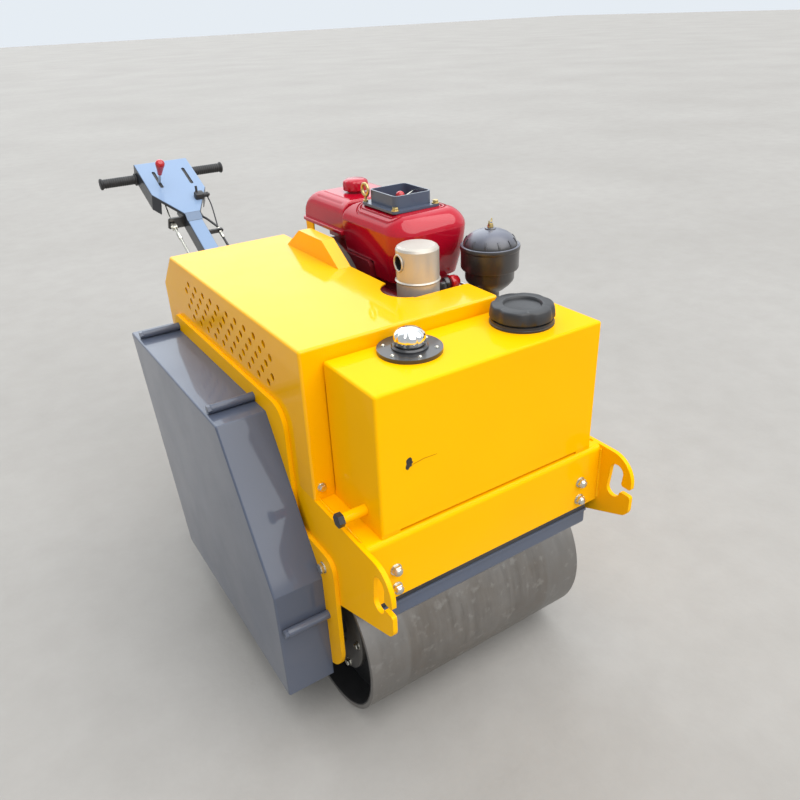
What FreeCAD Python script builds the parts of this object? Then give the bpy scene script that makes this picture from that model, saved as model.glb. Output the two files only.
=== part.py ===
# Walk-behind double drum road roller. All lengths are in millimetres.
# The sizes below are measured from the machine's own middle: X to its right,
# Y to the rear (the handle end), Z up, with the ground at Z = 0.
# save_all moves every piece so that the part's origin lies on the ground,
# at the middle of the machine's outline in plan.

import FreeCAD, Part
import math
import os

V = FreeCAD.Vector

# Drums
DRUM_D = 425.0
DRUM_W = 600.0
WHEELBASE = 520.0
SHELL = 12.0
DISC = 10.0
DISC_INSET = 62.0
STIFFENER_D = 190.0
AXLE_D = 45.0
AXLE_FIT = 0.05
AXLE_END = 12.0
HUB_D = 96.0

# Upper frame: side plates with tie hooks, cross beams and deck
PLATE = 10.0
FRAME_GAP = 5.0
FRAME_TOP = 594.0
FRAME_LOW = 352.0
FRAME_LOW_Y = 345.0
HOOK_Y = 597.0
HOOK_BOTTOM = 446.0
HOOK_ROUND = 60.0
SLOT_W = 36.0
SLOT_H = 85.0
SLOT_Y = 552.0
SLOT_Z = 524.5
SLOT_LEAN = 6.0
MOUTH = 17.0
MOUTH_Z = 512.0
BEAM_FACE_Y = 504.0
BEAM_BOTTOM = 448.0
DECK = 10.0

# Lower side plates, which carry the axle bearings
LOWER_TOP = 484.0
LOWER_BOTTOM = 150.0
LOWER_Y = 383.0
LOWER_ROUND = 85.0
BEARING_D = 88.0
BEARING_FLANGE = 118.0
BEARING_FLANGE_T = 12.0
BEARING_L = 34.0

# Scrapers
SCRAPER_GAP = 6.0
SCRAPER_T = 8.0
SCRAPER_LOW = 381.0
SCRAPER_HALF = 284.0
SCRAPER_TALL = 90.0

# Front tank
TANK_LEFT = -269.0
TANK_RIGHT = 275.0
TANK_FRONT_Y = -498.0
TANK_REAR_Y = -314.0
TANK_TOP = 898.0
TANK_FOOT = 8.0
TANK_FOOT_W = 42.0
TANK_FOLD = 6.0
BREATHER_X = -113.0
BREATHER_Y = -376.0
BREATHER_R = 64.0
BREATHER_T = 8.0
KNOB_R = 32.0
KNOB_H = 40.0
FILLER_X = 155.0
FILLER_Y = -384.0
FILLER_R = 62.0
FILLER_H = 44.0
DRAIN_R = 11.0
DRAIN_L = 51.0
DRAIN_Z = 632.0
DRAIN_Y = -440.0

# Hood, a folded sheet box round the left half of the engine
SHEET = 3.0
HOOD_TOP = 927.0
HOOD_FRONT_Y = -311.0
HOOD_REAR_Y = 540.0
HOOD_SLOPE_TOP_Y = 445.0
HOOD_SLOPE_BOTTOM_Z = 836.0
HOOD_RIGHT = 154.0
NOTCH_LEFT = 12.0
NOTCH_FRONT_Y = -210.0
NOTCH_ROUND = 61.0
NOTCH_ROUND_X = 35.0
HOOD_FOLD = 6.0
HOLE_D = 17.0
HOLE_PITCH = 51.0
HOLE_ROWS = (886.0, 864.5, 843.0, 821.0, 799.0)
HOLES_IN_ROW = 10
HOLE_MIDDLE_Y = 85.0
SLIT_W = 13.0
SLIT_LOW = 610.0
SLIT_HIGH = 851.0
BULGE_LEFT = -22.0
BULGE_TOP = 980.0
BULGE_FOOT_FRONT_Y = 60.0
BULGE_TOP_FRONT_Y = 143.0
BULGE_TOP_REAR_Y = 267.0
BULGE_FOOT_REAR_Y = 350.0

# Chain drive on the left: back plate and cover
CHAIN_PLATE_TOP = 769.0
CHAIN_PLATE_FRONT_Y = -220.0
CHAIN_PLATE_REAR_Y = 466.0
CHAIN_PLATE_ROUND = 52.0
COVER_OUT = 438.0
COVER_SHEET = 3.0
COVER_TOP = 728.0
COVER_TOP_FRONT_Y = -130.0
COVER_TOP_REAR_Y = 507.0
COVER_KNEE_Z = 405.0
COVER_FRONT_LOW = 118.0
COVER_REAR_LOW = 128.0
COVER_PAST_AXLE = 69.0
STUD_R = 10.0
STUD_REACH = 98.0
STUD_SEAT = 0.3
TOP_STUDS_Y = (440.0, -68.0)
FRONT_STUD_Z = 312.0

# Engine: single cylinder, lying, with a water hopper over the cylinder
RAIL_H = 40.0
RAIL_W = 48.0
RAIL_T = 6.0
RAIL_X = (92.0, 224.0)
RAIL_FRONT_Y = -90.0
RAIL_REAR_Y = 392.0
CRANK_Y = 205.0
CRANK_Z = 790.0
CASE_LEFT = 62.0
CASE_RIGHT = 246.0
CASE_REAR_Y = 372.0
CASE_TOP = 930.0
JACKET_REAR_Y = 60.0
SUMP_Z = 666.0
SUMP_W = 78.0
SUMP_L = 240.0
SEAT_IN = 28.0
FOOT_W = 44.0
FOOT_T = 14.0
FOOT_START = 130.0
HEAD_X = 138.0
HEAD_FRONT_Y = -158.0
HEAD_REAR_Y = -66.0
HEAD_HALF = 80.0
HEAD_LOW = 706.0
HEAD_TOP = 872.0
VALVE_COVER = 30.0
VALVE_COVER_IN = 18.0
FLYWHEEL_R = 172.0
FLYWHEEL_X = -12.0
FLYWHEEL_W = 50.0
BOSS_GAP = 6.0
CRANK_R = 21.0
CRANK_SEAT = 30.0
DECOMPRESSOR_H = 40.0
DECOMPRESSOR_L = 46.0
DECOMPRESSOR_TURN = -95.0
GEAR_COVER_T = 30.0
GEAR_COVER_EDGE = 13.0
GEAR_COVER_FROM_JACKET = 36.0
GEAR_COVER_SLANT = 54.0
START_Y = 164.0
START_Z = 800.0
START_R = 11.0
START_L = 30.0
PUMP_Y = 74.0
PUMP_FROM_CASE_TOP = 140.0
PUMP_OUT = 20.0
SHROUD_LEFT = 62.0
SHROUD_RIGHT = 275.0
SHROUD_FRONT_Y = -78.0
SHROUD_REAR_Y = 185.0
SHROUD_TOP = 1054.0
SHROUD_LOW = 892.0
SHROUD_TUCK = 26.0
SHROUD_ROUND = 38.0
WELL_DEPTH = 60.0
FLOAT_R = 11.0
EYE_R = 14.0
FUEL_REAR_Y = 414.0
FUEL_LOW = 969.0
FUEL_TOP = 1050.0
FUEL_SEAM = 2.0
FUEL_LEG_W = 120.0
FUEL_LEG_L = 150.0
CAP_X = 158.0
CAP_Y = 275.0
CAP_R = 34.0
CAP_H = 34.0
FUNNEL_X = 156.0
FUNNEL_Y = 56.0
FUNNEL_W = 106.0
FUNNEL_L = 118.0
FUNNEL_H = 36.0
FUNNEL_WALL = 4.0
FUNNEL_FLANGE_W = 134.0
FUNNEL_FLANGE_L = 150.0
FUNNEL_FLANGE_T = 6.0
MUFFLER_X = 62.0
MUFFLER_Y = -150.0
MUFFLER_R = 48.0
MUFFLER_LOW = 896.0
MUFFLER_TOP = 1020.0
EXHAUST_FLANGE = 47.0
OUTLET_R = 16.0
OUTLET_HEIGHT = 90.0
OUTLET_TURN = 175.0
AIR_X = 264.0
AIR_Y = -153.0
AIR_R = 70.0
AIR_NECK_R = 24.0
INTAKE_R = 20.0
AIR_LOW = 846.0
AIR_NECK_H = 22.0
AIR_STEP = 12.0
AIR_BOWL_H = 78.0
AIR_RIM_H = 136.0
AIR_LID_H = 173.0

# Handle: one box arm with a console, hinged at the rear beam
PIVOT_Y = 584.0
PIVOT_Z = 442.0
ARM_SLOPE = 29.4
ARM_LENGTH = 808.0
ARM_W = 54.0
ARM_H = 62.0
ARM_WALL = 4.0
PIN_D = 20.0
PIN_FIT = 0.05
FORK_GAP = 1.0
FORK_T = 12.0
FORK_LOW = 396.0
STOP_ALONG = 52.0
STOP_R = 9.0
STOP_SEAT = 0.3
CONSOLE_W = 204.0
CONSOLE_SLOPE = 25.0
CONSOLE_PAST = 276.5
CONSOLE_ABOVE = 18.0
CONSOLE_WIDE = 200.0
CONSOLE_TAPER = 134.0
CONSOLE_FLAP = 36.0
CONSOLE_LIP = 12.0
CHEEK_L = 80.0
CHEEK_DOWN = 44.0
CHEEK_SEAT = 0.3
CONSOLE_DEPTH = 64.0
CONSOLE_WALL = 3.0
BAR_BACK = 26.0
BAR_DOWN = 48.0
LEVER_SLOTS = (-50.0, 64.0)
LEVER_SLOT_Y = -115.0
LEVER_SLOT_L = 105.0
LEVER_Y = -126.0
LEVER_L = 98.0
LEVER_LEAN = -0.18
KNOB_TALL = 64.0
BAR_D = 26.0
BAR_L = 468.0
GRIP_D = 34.0
CONTROL_RODS = (
    # x, height over the arm's middle line, lower end, upper end before the arm's, half height of the lugs
    (-78.0, 0.0, 110.0, 66.0, 24.0),
    (66.0, 20.0, 110.0, 92.0, 12.0),
)
THROTTLE_X = 56.0
THROTTLE_Y = -256.0

AXLE_Z = DRUM_D / 2
AXLE_Y = WHEELBASE / 2
FRAME_IN = DRUM_W / 2 + FRAME_GAP
FRAME_OUT = FRAME_IN + PLATE
LOWER_OUT = FRAME_OUT + PLATE
DECK_TOP = FRAME_TOP
PUMP_TOP = CASE_TOP - PUMP_FROM_CASE_TOP
pieces = {}


# Ways of making shapes


def place(axis, u, v, w):
    """Point at u, v across the axis and w along it: x takes (y, z), y takes (x, z), z takes (x, y)."""
    return {"x": V(w, u, v), "y": V(u, w, v), "z": V(u, v, w)}[axis]


def along(axis):
    return {"x": V(1, 0, 0), "y": V(0, 1, 0), "z": V(0, 0, 1)}[axis]


def arc_corner(before, corner, after, radius):
    """Start, middle and end of the tangent arc that rounds a corner."""
    back = (before - corner).normalize()
    onward = (after - corner).normalize()
    half = back.getAngle(onward) / 2
    run = radius / math.tan(half)
    bisector = (back + onward).normalize()
    middle = corner + bisector * (radius / math.sin(half) - radius)
    return corner + back * run, middle, corner + onward * run


def joined(stops, closed):
    """Edges through the stops, each a point or a (start, middle, end) arc."""
    edges = []
    count = len(stops)
    for i, stop in enumerate(stops):
        is_arc = isinstance(stop, tuple)
        if is_arc:
            edges.append(Part.Arc(*stop).toShape())
        if i + 1 == count and not closed:
            break
        following = stops[(i + 1) % count]
        start = stop[2] if is_arc else stop
        end = following[0] if isinstance(following, tuple) else following
        if start.distanceToPoint(end) > 1e-6:
            edges.append(Part.LineSegment(start, end).toShape())
    return Part.Wire(edges)


def outline(corners, axis, w):
    """Closed wire through corners (u, v) or (u, v, radius), across the axis at w."""
    points = [place(axis, c[0], c[1], w) for c in corners]
    count = len(points)
    stops = []
    for i, corner in enumerate(corners):
        if len(corner) > 2 and corner[2] > 0:
            stops.append(arc_corner(points[i - 1], points[i], points[(i + 1) % count], corner[2]))
        else:
            stops.append(points[i])
    return joined(stops, True)


def prism(corners, axis, low, high):
    return Part.Face(outline(corners, axis, low)).extrude(along(axis) * (high - low))


def block(x0, x1, y0, y1, z0, z1):
    return Part.makeBox(x1 - x0, y1 - y0, z1 - z0, V(x0, y0, z0))


def rod(axis, u, v, low, high, radius):
    return Part.makeCylinder(radius, high - low, place(axis, u, v, low), along(axis))


def rectangle(u, v, width, height, radius):
    """Corners of a rounded rectangle round the middle u, v."""
    a = width / 2
    b = height / 2
    return [(u - a, v - b, radius), (u + a, v - b, radius), (u + a, v + b, radius), (u - a, v + b, radius)]


def inset(corners, depth):
    """Straight-sided outline moved inwards by depth all round. Corners run anticlockwise."""
    count = len(corners)
    moved = []
    for i in range(count):
        p = V(corners[i - 1][0], corners[i - 1][1], 0)
        q = V(corners[i][0], corners[i][1], 0)
        r = V(corners[(i + 1) % count][0], corners[(i + 1) % count][1], 0)
        first = V(-(q - p).y, (q - p).x, 0).normalize()
        second = V(-(r - q).y, (r - q).x, 0).normalize()
        miter = (first + second) * (depth / (1 + first.dot(second)))
        moved.append((q.x + miter.x, q.y + miter.y))
    return moved


def turned(corners, centre, direction=V(0, 0, 1)):
    """Solid turned from corners (radius, height, rounding) about an axis through centre."""
    body = Part.Face(outline(corners, "y", 0)).revolve(V(0, 0, 0), V(0, 0, 1), 360)
    body.Placement = FreeCAD.Placement(centre, FreeCAD.Rotation(V(0, 0, 1), direction))
    return body


def bent_rod(points, radius, bend):
    """Round bar along straight runs joined by arcs."""
    stops = [points[0]]
    for before, corner, after in zip(points, points[1:], points[2:]):
        stops.append(arc_corner(before, corner, after, bend))
    stops.append(points[-1])
    path = joined(stops, False)
    section = Part.Wire(Part.Circle(points[0], points[1] - points[0], radius).toShape())
    return path.makePipeShell([section], True, False)


def rounded(shape, radius, wanted):
    return shape.makeFillet(radius, [e for e in shape.Edges if wanted(e)])


def runs_along(edge, axis):
    """True for a straight edge along the axis."""
    if not isinstance(edge.Curve, Part.Line):
        return False
    return abs(edge.Curve.Direction.dot(along(axis))) > 0.999


def mirrored(shape, axis="x"):
    return shape.mirror(V(0, 0, 0), along(axis))


def both_ends(corners):
    """Outline of a front half, from top to bottom, carried on as its mirror image at the rear."""
    rear = [(-c[0],) + tuple(c[1:]) for c in reversed(corners)]
    return list(corners) + rear


# Drums: rolled shell with a disc inset at each end and a hub on the through axle


def drum():
    radius = DRUM_D / 2
    half = DRUM_W / 2
    disc_out = half - DISC_INSET
    disc_in = disc_out - DISC
    bore = AXLE_D / 2
    hub_end = half - 12
    shell = rod("x", 0, 0, -half, half, radius).cut(rod("x", 0, 0, -half, half, radius - SHELL))
    for side in (-1, 1):
        profile = (
            (bore, disc_in),
            (radius - SHELL, disc_in),
            (radius - SHELL, disc_out),
            (STIFFENER_D / 2, disc_out),
            (STIFFENER_D / 2 - 4, disc_out + DISC),
            (HUB_D / 2, disc_out + DISC),
            (HUB_D / 2 - 6, hub_end),
            (bore, hub_end),
        )
        shell = shell.fuse(turned(profile, V(0, 0, 0), V(side, 0, 0)))
    return shell


def axle():
    half = LOWER_OUT + BEARING_L + AXLE_END
    return rod("x", 0, 0, -half, half, AXLE_D / 2)


for end, y in (("front", -AXLE_Y), ("rear", AXLE_Y)):
    pieces[end + "_drum"] = drum().translated(V(0, y, AXLE_Z))
    pieces[end + "_axle"] = axle().translated(V(0, y, AXLE_Z))


# Upper frame: two side plates with a C-shaped tie hook at each end


def hook_slot(y):
    """Leaning slot of a tie hook with its narrow mouth to the outside."""
    lean = SLOT_LEAN if y < 0 else -SLOT_LEAN
    slot = prism(rectangle(y, SLOT_Z, SLOT_W, SLOT_H, SLOT_W / 2), "x", FRAME_IN - 1, FRAME_OUT + 1)
    slot.rotate(V(0, y, SLOT_Z), V(1, 0, 0), lean)
    low, high = sorted((y, math.copysign(HOOK_Y + 20, y)))
    mouth = block(FRAME_IN - 1, FRAME_OUT + 1, low, high, MOUTH_Z - MOUTH / 2, MOUTH_Z + MOUTH / 2)
    return slot.fuse(mouth)


def side_plate():
    front = [
        (-HOOK_Y, FRAME_TOP, HOOK_ROUND),
        (-HOOK_Y, HOOK_BOTTOM + 7, 28.0),
        (-FRAME_LOW_Y, FRAME_LOW, 30.0),
    ]
    plate = prism(both_ends(front), "x", FRAME_IN, FRAME_OUT)
    plate = plate.cut(hook_slot(-SLOT_Y)).cut(hook_slot(SLOT_Y))
    reach = MOUTH / 2 + 1
    return rounded(plate, 6.0, lambda e: runs_along(e, "x") and abs(e.CenterOfMass.z - MOUTH_Z) < reach)


pieces["side_plate_right"] = side_plate()
pieces["side_plate_left"] = mirrored(side_plate())


# Cross beams and deck, welded between the side plates


def front_beam():
    back = -WHEELBASE / 2 - 40
    corners = [
        (-BEAM_FACE_Y, BEAM_BOTTOM),
        (-BEAM_FACE_Y + PLATE, BEAM_BOTTOM),
        (-BEAM_FACE_Y + PLATE, DECK_TOP - DECK),
        (back, DECK_TOP - DECK),
        (back, DECK_TOP),
        (-BEAM_FACE_Y, DECK_TOP, 12.0),
    ]
    return prism(corners, "x", -FRAME_IN, FRAME_IN)


def rear_beam():
    front = WHEELBASE / 2 + 40
    corners = [
        (BEAM_FACE_Y, BEAM_BOTTOM),
        (BEAM_FACE_Y, DECK_TOP - DECK),
        (HOOD_REAR_Y + 6, DECK_TOP - DECK),
        (HOOD_REAR_Y + 6, DECK_TOP),
        (front, DECK_TOP),
        (front, DECK_TOP - DECK),
        (BEAM_FACE_Y - PLATE, DECK_TOP - DECK),
        (BEAM_FACE_Y - PLATE, BEAM_BOTTOM),
    ]
    return prism(corners, "x", -FRAME_IN, FRAME_IN)


pieces["front_beam"] = front_beam()
pieces["rear_beam"] = rear_beam()
pieces["engine_deck"] = block(
    -FRAME_IN, FRAME_IN, -WHEELBASE / 2 - 40, WHEELBASE / 2 + 40, DECK_TOP - DECK, DECK_TOP
)


# Lower side plates, bolted outside the frame, with the axle bearings on their outer faces


def lower_plate():
    front = [(-LOWER_Y, LOWER_TOP, 34.0), (-LOWER_Y, LOWER_BOTTOM, LOWER_ROUND)]
    plate = prism(both_ends(front), "x", FRAME_OUT, LOWER_OUT)
    for y in (-AXLE_Y, AXLE_Y):
        plate = plate.cut(rod("x", y, AXLE_Z, FRAME_OUT - 1, LOWER_OUT + 1, AXLE_D / 2 + 8))
    return plate


def bearing():
    """Square flange unit with a round collar."""
    flange = prism(rectangle(0, 0, BEARING_FLANGE, BEARING_FLANGE, 24.0), "x", 0, BEARING_FLANGE_T)
    collar = turned(
        (
            (0, 0),
            (BEARING_D / 2, 0),
            (BEARING_D / 2 - 4, BEARING_L - 4),
            (BEARING_D / 2 - 8, BEARING_L),
            (0, BEARING_L),
        ),
        V(0, 0, 0),
        V(1, 0, 0),
    )
    return flange.fuse(collar).cut(rod("x", 0, 0, -1, BEARING_L + 1, AXLE_D / 2 + AXLE_FIT))


pieces["lower_plate_right"] = lower_plate()
pieces["lower_plate_left"] = mirrored(lower_plate())
for end, y in (("front", -AXLE_Y), ("rear", AXLE_Y)):
    seated = bearing().translated(V(LOWER_OUT, y, AXLE_Z))
    pieces[end + "_bearing_right"] = seated
    pieces[end + "_bearing_left"] = mirrored(seated)


# Bolts: domed nuts on the beams and hexagon heads on the lower side plates


def hexagon(axis, u, v, low, high, across):
    corner = across / math.sqrt(3)
    turns = [math.radians(60 * i) for i in range(6)]
    return prism([(u + corner * math.cos(t), v + corner * math.sin(t)) for t in turns], axis, low, high)


BEAM_BOLT_IN = 58.0
BEAM_BOLT_Z = (518.0, 472.0)
PLATE_BOLTS = ((-341.0, 447.0), (-240.0, 447.0), (240.0, 447.0), (341.0, 447.0))
NUT_ACROSS = 24.0
NUT_H = 10.0

nuts = []
for z in BEAM_BOLT_Z:
    x = FRAME_IN - BEAM_BOLT_IN
    nut = hexagon("y", x, z, -BEAM_FACE_Y - NUT_H, -BEAM_FACE_Y, NUT_ACROSS)
    dome = Part.makeCone(9.0, 5.0, 6.0, V(x, -BEAM_FACE_Y - NUT_H, z), V(0, -1, 0))
    nut = nut.fuse(dome)
    nuts += [nut, mirrored(nut), mirrored(nut, "y"), mirrored(mirrored(nut), "y")]
for y, z in PLATE_BOLTS:
    head = hexagon("x", y, z, LOWER_OUT, LOWER_OUT + NUT_H, NUT_ACROSS)
    nuts += [head, mirrored(head)]
pieces["frame_bolts"] = Part.makeCompound(nuts)


# Scrapers: angle plates bolted behind the beams, with the blade's edge just off the drum


def scraper():
    back = -BEAM_FACE_Y + PLATE
    reach = DRUM_D / 2 + SCRAPER_GAP
    tip = -AXLE_Y - math.sqrt(reach**2 - (SCRAPER_LOW - AXLE_Z) ** 2)
    corners = [
        (back, SCRAPER_LOW, 10.0),
        (tip, SCRAPER_LOW),
        (tip, SCRAPER_LOW + SCRAPER_T),
        (back + SCRAPER_T, SCRAPER_LOW + SCRAPER_T, 4.0),
        (back + SCRAPER_T, BEAM_BOTTOM + SCRAPER_TALL),
        (back, BEAM_BOTTOM + SCRAPER_TALL),
    ]
    plate = prism(corners, "x", -SCRAPER_HALF, SCRAPER_HALF)
    return rounded(plate, 5.0, lambda e: runs_along(e, "y") and e.CenterOfMass.z < SCRAPER_LOW + 1)


pieces["front_scraper"] = scraper()
pieces["rear_scraper"] = mirrored(scraper(), "y")


# Front tank on two foot strips, with breather, filler and drain


def front_tank():
    low = DECK_TOP + TANK_FOOT
    tank = block(TANK_LEFT, TANK_RIGHT, TANK_FRONT_Y, TANK_REAR_Y, low, TANK_TOP)
    tank = rounded(tank, TANK_FOLD, lambda e: runs_along(e, "z") or e.CenterOfMass.z > TANK_TOP - 1)
    for x in (TANK_LEFT, TANK_RIGHT - TANK_FOOT_W):
        tank = tank.fuse(block(x, x + TANK_FOOT_W, TANK_FRONT_Y + 2, TANK_REAR_Y, DECK_TOP, low + 1))
    return tank


pieces["front_tank"] = front_tank()
pieces["breather_flange"] = rod("z", BREATHER_X, BREATHER_Y, TANK_TOP, TANK_TOP + BREATHER_T, BREATHER_R)
pieces["breather_cap"] = turned(
    (
        (0, 0),
        (KNOB_R - 6, 0),
        (KNOB_R - 6, 8),
        (KNOB_R, 10),
        (KNOB_R, 22),
        (KNOB_R - 5, 31),
        (KNOB_R - 14, KNOB_H - 2),
        (0, KNOB_H),
    ),
    V(BREATHER_X, BREATHER_Y, TANK_TOP + BREATHER_T),
)


def filler():
    """Round collar and screw cap with grip scallops and a sunk ring on top."""
    body = turned(
        (
            (0, 0),
            (FILLER_R, 0),
            (FILLER_R, 10),
            (FILLER_R - 6, 14),
            (FILLER_R - 5, FILLER_H - 4),
            (FILLER_R - 8, FILLER_H),
            (FILLER_R - 18, FILLER_H),
            (FILLER_R - 22, FILLER_H - 8),
            (FILLER_R - 36, FILLER_H - 8),
            (FILLER_R - 38, FILLER_H - 2),
            (0, FILLER_H - 2),
        ),
        V(FILLER_X, FILLER_Y, TANK_TOP),
    )
    for i in range(6):
        turn = math.radians(60 * i)
        u = FILLER_X + (FILLER_R + 2) * math.cos(turn)
        v = FILLER_Y + (FILLER_R + 2) * math.sin(turn)
        body = body.cut(rod("z", u, v, TANK_TOP + 16, TANK_TOP + FILLER_H + 1, 11.0))
    return body


pieces["water_filler"] = filler()
pieces["drain_tube"] = rod("x", DRAIN_Y, DRAIN_Z, TANK_LEFT - DRAIN_L, TANK_LEFT, DRAIN_R)
pieces["drain_plug"] = hexagon(
    "x", DRAIN_Y, DRAIN_Z, TANK_LEFT - DRAIN_L - 12, TANK_LEFT - DRAIN_L, 2 * DRAIN_R + 4
)


# Hood: one folded sheet, with round holes on the left, a bulge over the flywheel
# and a notch that leaves the engine's top open


def hood_profile(depth):
    """Side outline of the hood, with its sheet's depth taken off. It runs below the deck inside."""
    low = DECK_TOP if depth == 0 else DECK_TOP - 10
    corners = [
        (HOOD_FRONT_Y, low),
        (HOOD_REAR_Y, low),
        (HOOD_REAR_Y, HOOD_SLOPE_BOTTOM_Z),
        (HOOD_SLOPE_TOP_Y, HOOD_TOP),
        (HOOD_FRONT_Y, HOOD_TOP),
    ]
    if depth == 0:
        return corners
    return inset(corners, depth)


def bulge_profile(depth):
    corners = [
        (BULGE_FOOT_FRONT_Y, HOOD_TOP - SHEET),
        (BULGE_FOOT_REAR_Y, HOOD_TOP - SHEET),
        (BULGE_TOP_REAR_Y, BULGE_TOP),
        (BULGE_TOP_FRONT_Y, BULGE_TOP),
    ]
    if depth == 0:
        return corners
    inner = inset(corners, depth)
    return [(inner[0][0], HOOD_TOP - 2 * SHEET), (inner[1][0], HOOD_TOP - 2 * SHEET)] + inner[2:]


def hole_field():
    holes = []
    for row, z in enumerate(HOLE_ROWS):
        count = HOLES_IN_ROW + row % 2
        for i in range(count):
            y = HOLE_MIDDLE_Y + HOLE_PITCH * (i - (count - 1) / 2)
            holes.append(rod("x", y, z, -FRAME_OUT - 1, -FRAME_OUT + SHEET + 1, HOLE_D / 2))
    return Part.makeCompound(holes)


def hood():
    left = -FRAME_OUT
    solid = prism(hood_profile(0), "x", left, HOOD_RIGHT)
    solid = rounded(
        solid, HOOD_FOLD, lambda e: e.CenterOfMass.z > DECK_TOP + 1 and e.CenterOfMass.x < HOOD_RIGHT - 1
    )
    hollow = prism(hood_profile(SHEET), "x", left + SHEET, HOOD_RIGHT - SHEET)
    sheet = solid.cut(hollow)
    notch = block(NOTCH_LEFT, HOOD_RIGHT + 1, NOTCH_FRONT_Y, HOOD_REAR_Y + 1, DECK_TOP - 1, HOOD_TOP + 1)
    round_y = NOTCH_FRONT_Y + NOTCH_ROUND
    notch = notch.fuse(rod("z", NOTCH_ROUND_X, round_y, DECK_TOP, HOOD_TOP + 1, NOTCH_ROUND))
    sheet = sheet.cut(notch)
    under_bulge = prism(bulge_profile(SHEET), "x", BULGE_LEFT + SHEET, NOTCH_LEFT + 1)
    bulge = prism(bulge_profile(0), "x", BULGE_LEFT, NOTCH_LEFT)
    sheet = sheet.fuse(bulge).cut(under_bulge)
    slit_left = TANK_LEFT + 3
    slit_rear = HOOD_FRONT_Y + SHEET + 1
    slit = block(slit_left, slit_left + SLIT_W, HOOD_FRONT_Y - 1, slit_rear, SLIT_LOW, SLIT_HIGH)
    return sheet.cut(slit).cut(hole_field())


pieces["hood"] = hood()


# Chain drive on the left: back plate on the lower side plate, folded cover and its spacer tubes


def chain_plate():
    corners = [
        (CHAIN_PLATE_FRONT_Y, LOWER_TOP),
        (CHAIN_PLATE_REAR_Y, LOWER_TOP),
        (CHAIN_PLATE_REAR_Y, CHAIN_PLATE_TOP, 24.0),
        (CHAIN_PLATE_FRONT_Y, CHAIN_PLATE_TOP, CHAIN_PLATE_ROUND),
    ]
    return prism(corners, "x", -LOWER_OUT, -FRAME_OUT)


COVER_CORNERS = (
    (COVER_TOP_REAR_Y, COVER_TOP),
    (COVER_TOP_FRONT_Y, COVER_TOP),
    (-AXLE_Y - COVER_PAST_AXLE + 4, COVER_KNEE_Z),
    (-AXLE_Y - COVER_PAST_AXLE, COVER_FRONT_LOW),
    (AXLE_Y + COVER_PAST_AXLE + 4, COVER_REAR_LOW),
)


def chain_cover():
    shell = prism(COVER_CORNERS, "x", -COVER_OUT, -LOWER_OUT)
    shell = rounded(shell, 5.0, lambda e: e.CenterOfMass.x < -LOWER_OUT - 1)
    hollow = prism(inset(COVER_CORNERS, COVER_SHEET), "x", -COVER_OUT + COVER_SHEET, -LOWER_OUT + 1)
    return shell.cut(hollow)


def cover_studs():
    """Spacer tubes with a through bolt's head, lying on the cover's rim."""
    studs = []
    off = STUD_R + STUD_SEAT
    spots = [(y, COVER_TOP + off) for y in TOP_STUDS_Y]
    spots.append((-AXLE_Y - COVER_PAST_AXLE + 2 - off, FRONT_STUD_Z))
    for v, w in spots:
        tube = rod("x", v, w, -LOWER_OUT - STUD_REACH, -LOWER_OUT, STUD_R)
        head = hexagon("x", v, w, -LOWER_OUT - STUD_REACH - 8, -LOWER_OUT - STUD_REACH, 17.0)
        studs.append(tube.fuse(head))
    return Part.makeCompound(studs)


pieces["chain_plate"] = chain_plate()
pieces["chain_cover"] = chain_cover()
pieces["cover_studs"] = cover_studs()


# Engine: rails, crankcase and water jacket, cylinder head and covers


def engine_rails():
    """Two channels along the deck, open towards each other."""
    rails = []
    for i, x in enumerate(RAIL_X):
        a = x - RAIL_W / 2
        b = x + RAIL_W / 2
        rail = block(a, b, RAIL_FRONT_Y, RAIL_REAR_Y, DECK_TOP, DECK_TOP + RAIL_H)
        inner_a = a - 1 if i else a + RAIL_T
        inner_b = b - RAIL_T if i else b + 1
        low = DECK_TOP + RAIL_T
        high = DECK_TOP + RAIL_H - RAIL_T
        rail = rail.cut(block(inner_a, inner_b, RAIL_FRONT_Y - 1, RAIL_REAR_Y + 1, low, high))
        rails.append(rail)
    return Part.makeCompound(rails)


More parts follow.
